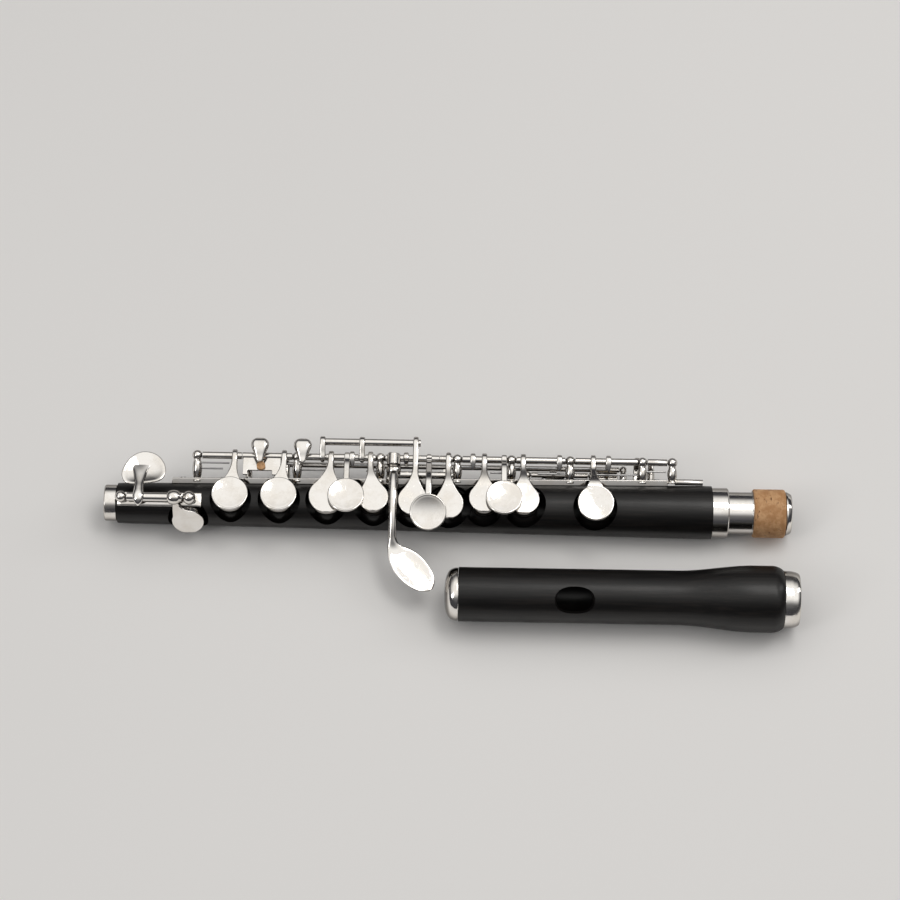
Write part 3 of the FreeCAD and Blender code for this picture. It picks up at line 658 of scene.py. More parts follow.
def smooth_line(points: Sequence[Sequence[float]], steps: int) -> list[tuple[float, ...]]:
    """Passes a smooth curve through points of any number of values.

    Args:
        points: The points, each a sequence of the same length.
        steps: Parts that each span between two points is divided into.

    Returns:
        The points of the curve.
    """
    ends = [points[0], *points, points[-1]]
    line = []
    for i in range(len(points) - 1):
        a, b, c, d = ends[i:i + 4]
        for k in range(steps):
            t = k / steps
            line.append(tuple(
                0.5 * (2 * q + (r - p) * t + (2 * p - 5 * q + 4 * r - s) * t * t
                       + (3 * q - p - 3 * r + s) * t ** 3)
                for p, q, r, s in zip(a, b, c, d)))
    line.append(tuple(points[-1]))
    return line


def softened(profile: Sequence[Pair], size: float, steps: int = 4, closed: bool = True) -> list[Pair]:
    """Rounds the corners of a profile.

    Args:
        profile: Its corners.
        size: How far from each corner its round starts.
        steps: Parts of each round.
        closed: Whether the profile goes round.

    Returns:
        The rounded profile.
    """
    count = len(profile)
    result: list[Pair] = []
    for i, corner in enumerate(profile):
        if not closed and i in (0, count - 1):
            result.append(corner)
            continue
        here = Vector(corner)
        before, after = Vector(profile[i - 1]) - here, Vector(profile[(i + 1) % count]) - here
        start = here + before.normalized() * min(size, before.length * 0.45)
        end = here + after.normalized() * min(size, after.length * 0.45)
        for k in range(steps + 1):
            t = k / steps
            point = start * (1 - t) ** 2 + here * (2 * t * (1 - t)) + end * t * t
            result.append((point.x, point.y))
    return result


def add_lathe(bm: bmesh.types.BMesh, profile: Sequence[Pair], place: Matrix, segments: int = 96,
              closed: bool = True) -> None:
    """Turns a profile about the X axis of its placing.

    Args:
        bm: The mesh to add to.
        profile: (along, radius) points; a point of no radius is a pole.
        place: The placing of the shape.
        segments: Parts of the turn.
        closed: Whether the last point joins the first.
    """
    rings = []
    for along, radius in profile:
        if radius < 1e-6:
            rings.append([bm.verts.new(place @ Vector((along, 0, 0)))])
            continue
        ring = []
        for k in range(segments):
            a = 2 * math.pi * k / segments
            ring.append(bm.verts.new(place @ Vector((along, radius * math.cos(a), radius * math.sin(a)))))
        rings.append(ring)
    pairs = list(zip(rings, rings[1:] + rings[:1])) if closed else list(zip(rings, rings[1:]))
    for one, two in pairs:
        if len(one) == 1 and len(two) == 1:
            continue
        for k in range(segments):
            n = (k + 1) % segments
            corners = [one[k % len(one)], one[n % len(one)], two[n % len(two)], two[k % len(two)]]
            unique = list(dict.fromkeys(corners))
            if len(unique) > 2:
                bm.faces.new(unique)


def add_loft(bm: bmesh.types.BMesh, sections: Sequence[Sequence[Vector]], place: Matrix) -> None:
    """Skins a closed body over ring-shaped sections and caps its ends.

    Args:
        bm: The mesh to add to.
        sections: Rings of the same number of points.
        place: The placing of the shape.
    """
    rings = [[bm.verts.new(place @ point) for point in section] for section in sections]
    count = len(rings[0])
    for one, two in zip(rings, rings[1:]):
        for k in range(count):
            n = (k + 1) % count
            bm.faces.new((one[k], one[n], two[n], two[k]))
    bm.faces.new(list(reversed(rings[0])))
    bm.faces.new(rings[-1])


@dataclass(frozen=True)
class Station:
    """One place along a blade: its middle, half width, half thickness and corner radius."""

    x: float
    y: float
    z: float
    half: float
    thick: float = 0.5
    corner: float = 0.2

    def values(self) -> tuple[float, ...]:
        """Gives the station as plain numbers."""
        return (self.x, self.y, self.z, self.half, self.thick, self.corner)


def add_blade(bm: bmesh.types.BMesh, stations: Sequence[Station], place: Matrix, steps: int = 5,
              side: float = 1.0) -> None:
    """Skins a bar whose rounded-rectangle section changes along a curve in one YZ plane.

    Args:
        bm: The mesh to add to.
        stations: Places along the bar.
        place: The placing of the shape.
        steps: Parts that each span is divided into; 1 keeps the stations as they are.
        side: 1 where the bar runs towards +Y, and -1 towards -Y.
    """
    values = [s.values() for s in stations]
    line = smooth_line(values, steps) if steps > 1 else values
    sections = []
    for i, (x, y, z, half, thick, corner) in enumerate(line):
        before, after = line[max(i - 1, 0)], line[min(i + 1, len(line) - 1)]
        ahead = Vector((0, after[1] - before[1], after[2] - before[2]))
        if ahead.length < 1e-9:
            ahead = Vector((0, side, 0))
        across = Vector((side, 0, 0))
        above = across.cross(ahead).normalized()
        r = max(0.01, min(corner, half * 0.98, thick * 0.98))
        section = []
        for quarter, (cx, cz) in enumerate(((half - r, thick - r), (r - half, thick - r),
                                            (r - half, r - thick), (half - r, r - thick))):
            for k in range(5):
                a = math.pi / 2 * (quarter + k / 4)
                section.append(Vector((x, y, z)) + across * (cx + r * math.cos(a))
                               + above * (cz + r * math.sin(a)))
        sections.append(section)
    add_loft(bm, sections, place)


def add_plate(bm: bmesh.types.BMesh, outline: Sequence[Pair], low: float, high: float, place: Matrix,
              ease: float = 0.15) -> None:
    """Makes a flat plate with eased edges from its plan.

    Args:
        bm: The mesh to add to.
        outline: Its plan.
        low: Its lower face.
        high: Its upper face.
        place: The placing of the shape.
        ease: How far its edges are eased.
    """
    count = len(outline)
    area = sum(outline[i - 1][0] * outline[i][1] - outline[i][0] * outline[i - 1][1] for i in range(count))
    turn = 1.0 if area > 0 else -1.0
    rings = []
    for inset, z in ((ease, low), (0.0, low + ease), (0.0, high - ease), (ease * 0.3, high - ease * 0.3),
                     (ease, high)):
        ring = []
        for i in range(count):
            along = Vector(outline[(i + 1) % count]) - Vector(outline[i - 1])
            inward = Vector((-along.y, along.x)).normalized() * turn
            point = Vector(outline[i]) + inward * inset
            ring.append(Vector((point.x, point.y, z)))
        rings.append(ring)
    add_loft(bm, rings, place)


def upright(place: Matrix) -> Matrix:
    """Stands a lathe's X axis up along Z."""
    return place @ Matrix.Rotation(math.radians(-90), 4, "Y")


def finish_piece(name: str, bm: bmesh.types.BMesh, finish: Finish, body: str, replaces: Iterable[str] = (),
                 sharp: float = 40.0, subdivide: int = 0) -> bpy.types.Object:
    """Turns a mesh into a piece that rides on a body.

    Args:
        name: The piece's name.
        bm: Its mesh, which is freed.
        finish: Its finish.
        body: The body that it rides on.
        replaces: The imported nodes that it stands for.
        sharp: Angle in degrees above which an edge stays crisp.
        subdivide: Levels of subdivision.

    Returns:
        The piece.
    """
    bmesh.ops.recalc_face_normals(bm, faces=bm.faces)
    mesh = bpy.data.meshes.new(name)
    bm.to_mesh(mesh)
    bm.free()
    mesh.shade_smooth()
    mesh.set_sharp_from_angle(angle=math.radians(sharp))
    mesh.materials.append(finish.material())
    piece = bpy.data.objects.new(name, mesh)
    bpy.context.scene.collection.objects.link(piece)
    if subdivide:
        modifier = piece.modifiers.new("smooth", "SUBSURF")
        modifier.levels = modifier.render_levels = subdivide
    else:
        piece.modifiers.new("even_shading", "WEIGHTED_NORMAL").keep_sharp = True
    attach(piece, body)
    if replaces:
        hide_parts(*replaces)
    log.info("%s: %d faces, rides on %s", name, len(mesh.polygons), body)
    return piece


def carved(wood: bpy.types.Object, tools: bmesh.types.BMesh) -> None:
    """Cuts closed tool shapes out of a piece of wood.

    Args:
        wood: The piece of wood.
        tools: The shapes to cut, which are freed.
    """
    mesh = bpy.data.meshes.new("tools")
    bmesh.ops.recalc_face_normals(tools, faces=tools.faces)
    tools.to_mesh(mesh)
    tools.free()
    tool = bpy.data.objects.new("tools", mesh)
    bpy.context.scene.collection.objects.link(tool)
    cut = wood.modifiers.new("cut", "BOOLEAN")
    cut.operation = "DIFFERENCE"
    cut.solver = "EXACT"
    cut.use_self = True
    cut.object = tool
    while wood.modifiers[0] != cut:
        bpy.context.view_layer.objects.active = wood
        wood.modifiers.move(len(wood.modifiers) - 1, 0)
    other = [m for m in wood.modifiers if m != cut]
    for modifier in other:
        modifier.show_viewport = False
    shaped = bpy.data.meshes.new_from_object(wood.evaluated_get(bpy.context.evaluated_depsgraph_get()))
    for modifier in other:
        modifier.show_viewport = True
    wood.modifiers.remove(cut)
    wood.data = shaped
    shaped.shade_smooth()
    shaped.set_sharp_from_angle(angle=math.radians(30))
    bpy.data.objects.remove(tool)


# ------------------------------------------------------------------ joints


@dataclass
class ToneHole:
    """One tone hole: where it is, which way it faces and the moat milled round its seat."""

    x: float
    angle: float
    hole: float = 2.7
    seat: float = 4.0
    moat: float = 6.9


@dataclass
class BodyWood:
    """The tapering wooden tube of the body joint with its milled seats."""

    layout: Layout
    foot_end: float = 4.1
    foot_radius: float = 6.4
    shoulder: float = 190.8
    shoulder_radius: float = 8.45
    bore_foot: float = 4.0
    bore_tenon: float = 5.45
    moat_depth: float = 1.25
    holes: tuple[ToneHole, ...] = (
        ToneHole(39.8, 6), ToneHole(55.0, 6), ToneHole(70.1, 6), ToneHole(84.6, 8), ToneHole(97.0, 14),
        ToneHole(108.2, 14), ToneHole(119.2, 7), ToneHole(131.7, 9), ToneHole(154.0, 16), ToneHole(26.6, 70),
        ToneHole(141.0, -105, 2.4, 4.0, 6.0), ToneHole(158.2, -100, 1.6, 4.0, 4.9),
                                   ToneHole(167.4, -103, 1.6, 4.0, 4.9))

    def radius(self, x: float) -> float:
        """Gives the outer radius of the wood at a place along it."""
        share = (x - self.foot_end) / (self.shoulder - self.foot_end)
        return self.foot_radius + (self.shoulder_radius - self.foot_radius) * share

    def tube(self) -> bmesh.types.BMesh:
        """Turns the plain tube.

        Returns:
            The tube.
        """
        outside = [(0.5, self.foot_radius - 1.4), (self.foot_end, self.foot_radius - 1.4)]
        steps = 60
        for i in range(steps + 1):
            x = self.foot_end + (self.shoulder - self.foot_end) * i / steps
            outside.append((x, self.radius(x) - (0.12 if i in (0, steps) else 0.0)))
        outside += [(self.shoulder, 7.0), (196.0, 7.0), (196.0, 6.0), (214.0, 6.0)]
        inside = [(214.0, self.bore_tenon), (0.5, self.bore_foot)]
        bm = bmesh.new()
        add_lathe(bm, outside + inside, self.layout.along(), 160)
        return bm

    def cutters(self) -> list[bmesh.types.BMesh]:
        """Makes the moats with standing seats, and the holes with flat seats.

        Returns:
            The tools.
        """
        moats, holes = bmesh.new(), bmesh.new()
        for hole in self.holes:
            place = upright(self.layout.radial(hole.angle, hole.x))
            wood = self.radius(hole.x)
            rim = math.sqrt(wood ** 2 - hole.seat ** 2)
            floor = self.radius(hole.x) - self.moat_depth
            low = math.sqrt(max(floor ** 2 - hole.moat ** 2, 0.0))
            wide = min(hole.moat, wood - 0.3)
            inner = hole.seat + 0.15
            steps = 6
            ramp = []
            for i in range(steps + 1):
                r = inner + (wide - inner) * i / steps
                ramp.append((math.sqrt(max(floor ** 2 - r ** 2, low ** 2)), r))
            add_lathe(moats, ramp + [(wood + 3, wide), (wood + 3, inner)], place, 72)
            add_lathe(holes, [(wood - 5, 0), (wood - 5, hole.hole), (rim, hole.hole),
                              (rim, hole.seat + 0.25),
                              (wood + 3, hole.seat + 0.25), (wood + 3, 0)], place, 72, closed=False)
        return [moats, holes]

    def build(self) -> None:
        """Turns the wood and mills it."""
        wood = finish_piece("body_wood", self.tube(), WOOD, "body_joint", ["body_tube"])
        for tool in self.cutters():
            carved(wood, tool)


@dataclass
class BodyRings:
    """The silver and cork rings turned on the body joint's two ends."""

    layout: Layout
    foot: tuple[Pair, ...] = ((0, 4.3), (0, 5.4), (0.3, 5.7), (3.7, 5.7), (4.1, 5.45), (4.1, 5.02),
                              (0.48, 5.02), (0.48, 4.3))
    ferrule: tuple[Pair, ...] = ((190.82, 7.02), (190.82, 7.85), (195.65, 7.85), (196.0, 7.55),
                                 (196.0, 7.02))
    sleeve: tuple[Pair, ...] = ((196.02, 6.02), (196.02, 6.63), (203.5, 6.63), (203.5, 6.95), (203.8, 6.95),
                                (203.8, 6.25), (213.98, 6.25), (213.98, 6.02))
    cork: tuple[Pair, ...] = ((203.82, 6.27), (203.82, 7.28), (204.2, 7.63), (213.5, 7.63), (213.9, 7.28),
                              (213.9, 6.27))
    end: tuple[Pair, ...] = ((214.02, 5.47), (214.02, 6.9), (214.5, 6.9), (215.6, 6.3), (215.9, 6.0),
                             (215.9, 5.47))

    def ring(self, name: str, profile: Sequence[Pair], soft: float, finish: Finish, node: str) -> None:
        """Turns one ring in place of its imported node.

        Args:
            name: The piece's name.
            profile: Its section.
            soft: How far its corners are rounded.
            finish: Its finish.
            node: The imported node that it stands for.
        """
        bm = bmesh.new()
        add_lathe(bm, softened(profile, soft), self.layout.along(), 128)
        finish_piece(name, bm, finish, "body_joint", [node])

    def build(self) -> None:
        """Turns every ring."""
        self.ring("foot_end_ring", self.foot, 0.15, RING_SILVER, "foot_ring")
        self.ring("shoulder_ferrule", self.ferrule, 0.15, RING_SILVER, "body_ferrule")
        self.ring("tenon_sleeve_ring", self.sleeve, 0.1, RING_SILVER, "tenon_sleeve")
        self.ring("tenon_cork_band", self.cork, 0.25, CORK, "tenon_cork")
        self.ring("tenon_lip", self.end, 0.2, RING_SILVER, "tenon_end_ring")


@dataclass
class LongRib:
    """The long silver rib that carries the posts, with its slotted screws."""

    layout: Layout
    wood: BodyWood
    start: float = 21.1
    end: float = 176.9
    width: float = 2.6
    thickness: float = 1.8
    screws: tuple[float, ...] = (24.5, 45.0, 73.0, 99.0, 138.0, 162.5, 173.5)

    def build(self) -> None:
        """Builds the rib and its screws."""
        line = self.layout.rod("main_pivot_rod")
        place = self.layout.radial(-math.degrees(math.atan2(line[0], line[1])))
        bm = bmesh.new()
        sections = []
        for x, inset in ((self.start, 0.15), (self.start + 0.15, 0.0), (self.end - 0.15, 0.0),
                         (self.end, 0.15)):
            surface, half = self.wood.radius(x), self.width / 2 - inset
            low, high = surface - 0.05, surface + self.thickness - inset
            corners = softened([(-half, low), (half, low), (half, high), (-half, high)], 0.2, 3)
            sections.append([Vector((x, y, z)) for y, z in corners])
        add_loft(bm, sections, place)
        finish_piece("long_rib", bm, KEY_SILVER, "body_joint", ["main_rib"])
        bm = bmesh.new()
        for x in self.screws:
            low = self.wood.radius(x) + self.thickness - 0.02
            head = softened([(low, 0.0), (low, 0.85), (low + 0.25, 0.8), (low + 0.25, 0.0)], 0.08,
                            closed=False)
            add_lathe(bm, head, upright(place @ Matrix.Translation(Vector((x, 0, 0)))), 32, closed=False)
        finish_piece("rib_screw_heads", bm, STEEL, "body_joint", ["rib_screws"])


@dataclass
class HeadJoint:
    """The head joint: swelling wood, blow hole, ferrule and crown."""

    layout: Layout
    start: float = 111.6
    radius: float = 8.45
    bulb_start: float = 179.5
    bulb_full: float = 203.5
    bulb_radius: float = 10.4
    wood_end: float = 212.3
    end: float = 217.2
    socket: float = 7.70
    bore: float = 5.45
    blow_x: float = 147.5
    blow_angle: float = 32.0
    blow_long: float = 11.6
    blow_wide: float = 8.7
    blow_square: float = 2.6

    def place(self) -> Matrix:
        """Gives the placing of shapes drawn about the head joint's axis."""
        return self.layout.along((self.layout.head_axis.y, self.layout.head_axis.z))

    def wood_profile(self) -> list[Pair]:
        """Draws the section of the wood, bore and socket included.

        Returns:
            The profile.
        """
        outside = [(self.start, self.radius - 0.2), (self.start + 0.2, self.radius)]
        steps = 24
        for i in range(steps):
            outside.append((self.start + 0.2 + (self.bulb_start - self.start - 0.2) * (i + 1) / steps,
                            self.radius))
        for i in range(1, steps + 1):
            t = i / steps
            swell = t * t * (3 - 2 * t)
            outside.append((self.bulb_start + (self.bulb_full - self.bulb_start) * t,
                            self.radius + (self.bulb_radius - self.radius) * swell))
        back = ((3.4, 0.0), (2.6, 0.06), (1.8, 0.26), (1.1, 0.55), (0.5, 0.92), (0.15, 1.2), (0.0, 1.4))
        outside += [(self.wood_end - along, self.bulb_radius - fall) for along, fall in back]
        bottom = self.end - 20.0
        inside = [(self.wood_end, self.socket + 0.52), (bottom, self.socket + 0.52), (bottom, self.bore),
                  (self.start, self.bore)]
        return outside + inside

    def blow_hole(self) -> bmesh.types.BMesh:
        """Makes the oval tool that cuts the blow hole, a little wider at its lip.

        Returns:
            The tool.
        """
        bm = bmesh.new()
        turn = Matrix.Rotation(math.radians(self.blow_angle), 4, "X")
        sections = []
        lip = self.radius
        for height, extra in ((2.0, -0.3), (lip - 0.9, -0.1), (lip - 0.35, 0.12), (lip + 0.35, 0.75),
                              (14.0, 0.9)):
            section = []
            for k in range(72):
                c, t = math.cos(2 * math.pi * k / 72), math.sin(2 * math.pi * k / 72)
                x = math.copysign(abs(c) ** (2 / self.blow_square), c) * (self.blow_long / 2 + extra)
                y = math.copysign(abs(t) ** (2 / self.blow_square), t) * (self.blow_wide / 2 + extra)
                section.append(Vector((self.blow_x + x, y, height)))
            sections.append(section)
        add_loft(bm, sections, self.place() @ turn)
        return bm

    def build(self) -> None:
        """Builds the wood, the metal fittings and the crown."""
        bm = bmesh.new()
        add_lathe(bm, self.wood_profile(), self.place(), 160)
        wood = finish_piece("head_wood", bm, WOOD, "head_joint", ["head_tube"])
        carved(wood, self.blow_hole())
        bm = bmesh.new()
        mouth = 8.95
        ferrule = [(self.wood_end + 0.02, self.socket), (self.wood_end + 0.02, mouth - 0.02),
                   (self.wood_end + 0.4, mouth),
                   (self.end - 2.4, mouth - 0.1), (self.end - 1.0, mouth - 0.4),
                   (self.end - 0.3, mouth - 0.75),
                   (self.end, self.socket + 0.25), (self.end, self.socket)]
        add_lathe(bm, softened(ferrule, 0.3), self.place(), 128)
        finish_piece("socket_ferrule", bm, RING_SILVER, "head_joint", ["head_ferrule"])
        bm = bmesh.new()
        dome = smooth_line([(107.2, 0.0), (107.3, 2.6), (107.75, 5.4), (108.7, 7.25), (110.0, 8.05),
                            (111.2, 8.3)], 6)
        crown = dome + [(111.5, 8.15), (111.5, 5.35), (116.6, 5.35), (116.6, 0.0)]
        add_lathe(bm, crown, self.place(), 128, closed=False)
        finish_piece("crown_cap", bm, RING_SILVER, "head_crown_body", ["head_crown"])


# ------------------------------------------------------------------ posts and keys


@dataclass
class Posts:
    """Turned ball-top posts: flared foot, waisted body and ball."""

    layout: Layout
    wood: BodyWood
    rib: float = 0.85
    facets: int = 40

    def profile(self, foot: float, height: float, ball: float, stem: float) -> list[Pair]:
        """Draws a post's section from its foot to the top of its ball.

        Args:
            foot: Height that its foot stands at.
            height: Height of the rod's line.
            ball: Radius of the ball.
            stem: Stoutness of the body.

        Returns:
            (height, radius) points from the foot's underside to the top.
        """
        span = height - ball - foot
        body = smooth_line([
            (foot, 1.75 * stem), (foot + 0.35, 1.72 * stem), (foot + 0.6, 1.35 * stem),
                            (foot + 0.85, 1.15 * stem),
            (foot + 0.35 * span, 1.4 * stem), (foot + 0.55 * span, 1.52 * stem),
                            (foot + 0.78 * span, 1.42 * stem),
            (foot + 0.97 * span, 1.1 * stem)], 5)
        start = math.asin(min(0.95, 1.1 * stem / ball))
        steps = 18
        arc = [(height - ball * math.cos(start + (math.pi - start) * k / steps),
                ball * math.sin(start + (math.pi - start) * k / steps)) for k in range(steps)]
        return [(foot - 0.2, 0.0), (foot - 0.2, 1.7 * stem)] + body + arc + [(height + ball, 0.0)]

    def group(self, name: str, node: str, places: Sequence[float], line: Pair, lift: float,
              ball: float, stem: float) -> None:
        """Turns a row of posts on one rod line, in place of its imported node.

        Args:
            name: The piece's name.
            node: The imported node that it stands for.
            places: Where the posts stand.
            line: The (y, z) of the rod that they hold.
            lift: How far their feet stand above the wood.
            ball: The radius of their balls.
            stem: How stout they are.
        """
        height = math.hypot(*line)
        angle = -math.degrees(math.atan2(line[0], line[1]))
        bm = bmesh.new()
        for x in places:
            place = upright(self.layout.radial(angle, x))
            add_lathe(bm, self.profile(self.wood.radius(x) + lift, height, ball, stem), place, self.facets,
                      closed=False)
        finish_piece(name, bm, KEY_SILVER, "body_joint", [node])

    def build(self) -> None:
        """Turns the main rod's posts and the foot key's."""
        main = self.layout.rod("main_pivot_rod")
        self.group("turned_main_posts", "main_posts", (28.9, 60.3, 86.5, 110.7, 127.7, 146.2, 168.9, 178.3),
                   main, self.rib, 1.55, 1.0)
        foot = self.layout.rod("foot_key_pivot_rod")
        height = math.hypot(*foot)
        angle = -math.degrees(math.atan2(foot[0], foot[1]))
        bm = bmesh.new()
        for x, ball, stem in ((5.9, 1.8, 0.8), (27.2, 2.1, 1.0)):
            place = upright(self.layout.radial(angle, x))
            add_lathe(bm, self.profile(self.wood.radius(x) + 0.8, height, ball, stem), place, self.facets,
                      closed=False)
        finish_piece("turned_foot_posts", bm, KEY_SILVER, "body_joint", ["foot_key_posts"])


@dataclass(frozen=True)
class Leaf:
    """A leaf cup: its hole, size, arm, the rod it turns on and how far open it stands."""

    x: float
    radius: float
    arm_x: float
    angle: float
    line: Pair
    opened: float = 0.0
    tube: float = 1.1
    neck: float = 0.92
    sweep: float = 13.0


@dataclass
class LeafKeys:
    """Draws the leaf cups with their arms, skirts, touches, tongues and hinge tubes."""

    layout: Layout
    wood: BodyWood
    travel: float = 7.0
    seat: float = 4.0
    cup_height: float = 1.7
    pad_room: float = 0.8
    disc_radius: float = 5.7
    disc_height: float = 1.1
    steps: int = 28

    def place(self, line: Pair, opened: float, angle: float = 0.0) -> Matrix:
        """Gives the placing of a shape drawn with its tone hole upright and the key closed.

        Args:
            line: The (y, z) of the rod that the key turns on.
            opened: How far open it stands, in degrees about X.
            angle: Which way the tone hole faces.

        Returns:
            A matrix from the shape's millimetres to frame metres.
        """
        middle = Matrix.Translation(Vector((0, *line)))
        swing = middle @ Matrix.Rotation(math.radians(opened), 4, "X") @ middle.inverted()
        return self.layout.along() @ swing @ Matrix.Rotation(math.radians(angle), 4, "X")

    def hinge(self, leaf: Leaf) -> Pair:
        """Gives the rod's (y, z) as seen with the tone hole upright.

        Args:
            leaf: The cup.

        Returns:
            The rod's place beside the cup.
        """
        a = math.radians(leaf.angle)
        y, z = leaf.line
        return (y * math.cos(a) + z * math.sin(a), -y * math.sin(a) + z * math.cos(a))

    def top(self, x: float) -> float:
        """Gives the height of a closed cup's top above the bore axis."""
        return math.sqrt(self.wood.radius(x) ** 2 - self.seat ** 2) + self.pad_room + self.cup_height

    def width_at(self, leaf: Leaf, away: float) -> Pair:
        """Gives the leaf's left and right edge at a distance from its middle towards the rod.

        Args:
            leaf: The cup.
            away: The distance.

        Returns:
            The left and the right edge.
        """
        edges = []
        for s in (-1.0, 1.0):
            bow_x = leaf.arm_x + s * (leaf.neck + leaf.sweep)
            rise = math.sqrt((leaf.radius + leaf.sweep) ** 2 - (bow_x - leaf.x) ** 2)
            touch = rise * leaf.radius / (leaf.radius + leaf.sweep)
            if away <= touch:
                edges.append(leaf.x + s * math.sqrt(max(leaf.radius ** 2 - away ** 2, 0.0)))
            elif away < rise:
                edges.append(bow_x - s * math.sqrt(leaf.sweep ** 2 - (rise - away) ** 2))
            else:
                edges.append(leaf.arm_x + s * leaf.neck)
        return (edges[0], edges[1])

    def add_leaf(self, bm: bmesh.types.BMesh, leaf: Leaf, via: Sequence[Pair] = ()) -> None:
        """Adds a cup, its skirt and its arm, which hooks over the rod.

        Args:
            bm: The mesh to add to.
            leaf: The cup.
            via: Extra (y, z) points that the arm passes before the rod.
        """
        place = self.place(leaf.line, leaf.opened, leaf.angle)
        hinge_y, hinge_z = self.hinge(leaf)
        side = math.copysign(1.0, hinge_y)
        span = abs(hinge_y)
        top = self.top(leaf.x)
        over = hinge_z + leaf.tube + 0.5
        near = min(leaf.radius + 0.6, span - 2.4)
        last = span - 1.7 if not via else abs(via[0][0]) - 0.5
        aim = over if not via else via[0][1] + 0.5
        ease = 0.22
        stations = []
        places = [-leaf.radius * math.cos(math.radians(a)) for a in (3, 8, 13, 18, 24, 31, 39, 48, 58, 69,
                                                                     80)]
        places += [last * k / self.steps for k in range(1, self.steps + 1)]
        for away in places:
            left, right = self.width_at(leaf, away)
            half = (right - left) / 2
            slope = min(1.0, max(0.0, (away - near) / (last - near))) if last > near else 0.0
            drop = (aim - top) * slope * slope * (3 - 2 * slope)
            from_tip = away + leaf.radius
            thick = 0.5 - max(0.0, ease - from_tip) * 0.9
            narrow = min(1.0, max(0.0, (2.6 - half) / 1.6))
            corner = ease + 0.26 * narrow
            stations.append(Station((left + right) / 2, side * away, top - 0.5 + drop, half, thick, corner))
        for y, z in via[1:]:
            stations.append(Station(leaf.arm_x, y, z, leaf.neck, 0.5, 0.46))
        hook = ((-1.15, 0.02, 0.96), (-0.2, 0.1, 0.96), (0.7, -0.08, 0.94), (1.45, -0.65, 0.88),
                (1.85, -1.45, 0.7),
                (1.9, -1.9, 0.4))
        for out, fall, share in hook:
            stations.append(Station(leaf.arm_x, hinge_y + side * out, over + fall - 0.42, leaf.neck * share,
                                    0.5 * share, 0.46))
        add_blade(bm, stations, place, 1, side)
        skirt = softened([(top - 0.7, leaf.radius - 0.03), (top - self.cup_height, leaf.radius - 0.03),
                          (top - self.cup_height, leaf.radius - 0.4), (top - 0.7, leaf.radius - 0.4)], 0.1)
        add_lathe(bm, skirt, upright(place @ Matrix.Translation(Vector((leaf.x, 0, 0)))), 72)

    def add_disc(self, bm: bmesh.types.BMesh, x: float, y: float, low: float, place: Matrix) -> None:
        """Adds a finger touch with a bright raised rim and a shallow dish.

        Args:
            bm: The mesh to add to.
            x: Its middle along the body.
            y: Its middle across the body.
            low: Its underside.
            place: The placing of the shape.
        """
        high, r = low + self.disc_height, self.disc_radius
        rim = [(low, 0.0), (low, r - 0.35), (low + 0.12, r - 0.1), (low + 0.3, r), (high - 0.34, r),
               (high - 0.12, r - 0.06),
               (high, r - 0.24), (high - 0.01, r - 0.42), (high - 0.1, r - 0.62)]
        bowl = [(high - 0.1 - 0.42 * (1 - (k / 8) ** 2), (r - 0.72) * k / 8) for k in range(8, -1, -1)]
        bowl[-1] = (bowl[-1][0], 0.0)
        add_lathe(bm, rim + bowl, upright(place @ Matrix.Translation(Vector((x, y, 0)))), 96, closed=False)

    def add_tube(self, bm: bmesh.types.BMesh, line: Pair, start: float, end: float,
                 radius: float = 1.1) -> None:
        """Adds a hinge tube, with small gaps to its neighbours.

        Args:
            bm: The mesh to add to.
            line: The (y, z) of its rod.
            start: Where it starts.
            end: Where it ends.
            radius: Its outer radius.
        """
        gap, bore = 0.08, 0.56
        profile = softened([(start + gap, bore), (start + gap, radius), (end - gap, radius),
                            (end - gap, bore)], 0.07)
        add_lathe(bm, profile, self.layout.along(line), 48)

    def add_tongue(self, bm: bmesh.types.BMesh, x: float, line: Pair, place: Matrix,
                   reach: float = 3.4) -> None:
        """Adds a pointed tongue that hugs the rod and reaches over a neighbour.

        Args:
            bm: The mesh to add to.
            x: Its place along the body.
            line: The (y, z) of its rod.
            place: The placing of the shape.
            reach: How far it reaches.
        """
        y, z = line
        path = [Station(x, y - reach, z - 0.75, 0.3, 0.25, 0.24), Station(x, y - reach * 0.8, z - 0.1, 0.62,
                                                                          0.36, 0.3),
                Station(x, y - reach * 0.5, z + 0.75, 0.84, 0.42, 0.36), Station(x, y - 0.7, z + 1.4, 0.9,
                                                                                 0.42, 0.36),
                Station(x, y + 0.4, z + 1.5, 0.86, 0.42, 0.36), Station(x, y + 1.25, z + 0.95, 0.7, 0.36,
                                                                        0.3),
                Station(x, y + 1.6, z + 0.2, 0.36, 0.26, 0.24)]
        add_blade(bm, path, place)

    def add_side_touch(self, bm: bmesh.types.BMesh, x: float, leaf: Leaf) -> None:
        """Adds a touch on its own arm, standing above the cups at its sides.

        Args:
            bm: The mesh to add to.
            x: Its place along the body.
            leaf: The cup that it moves with.
        """
        place = self.place(leaf.line, leaf.opened, leaf.angle)
        low = self.top(leaf.x) + 0.45
        y = -0.3
        self.add_disc(bm, x, y, low, place)
        hinge_y, hinge_z = self.hinge(leaf)
        arm = [Station(x, y - 2.5, low + 0.1, 0.9, 0.4, 0.3), Station(x, y + 2.0, low + 0.15, 0.9, 0.45,
                                                                      0.3),
               Station(x, 5.4, low + 0.1, 0.9, 0.48, 0.3), Station(x, hinge_y - 3.6, low - 0.5, 0.9, 0.48,
                                                                   0.3),
               Station(x, hinge_y - 1.3, hinge_z + 1.35, 0.9, 0.48, 0.3),
               Station(x, hinge_y + 0.6, hinge_z + 1.1, 0.85, 0.45, 0.3),
               Station(x, hinge_y + 1.2, hinge_z + 0.5, 0.6, 0.3, 0.25)]
        add_blade(bm, arm, place)

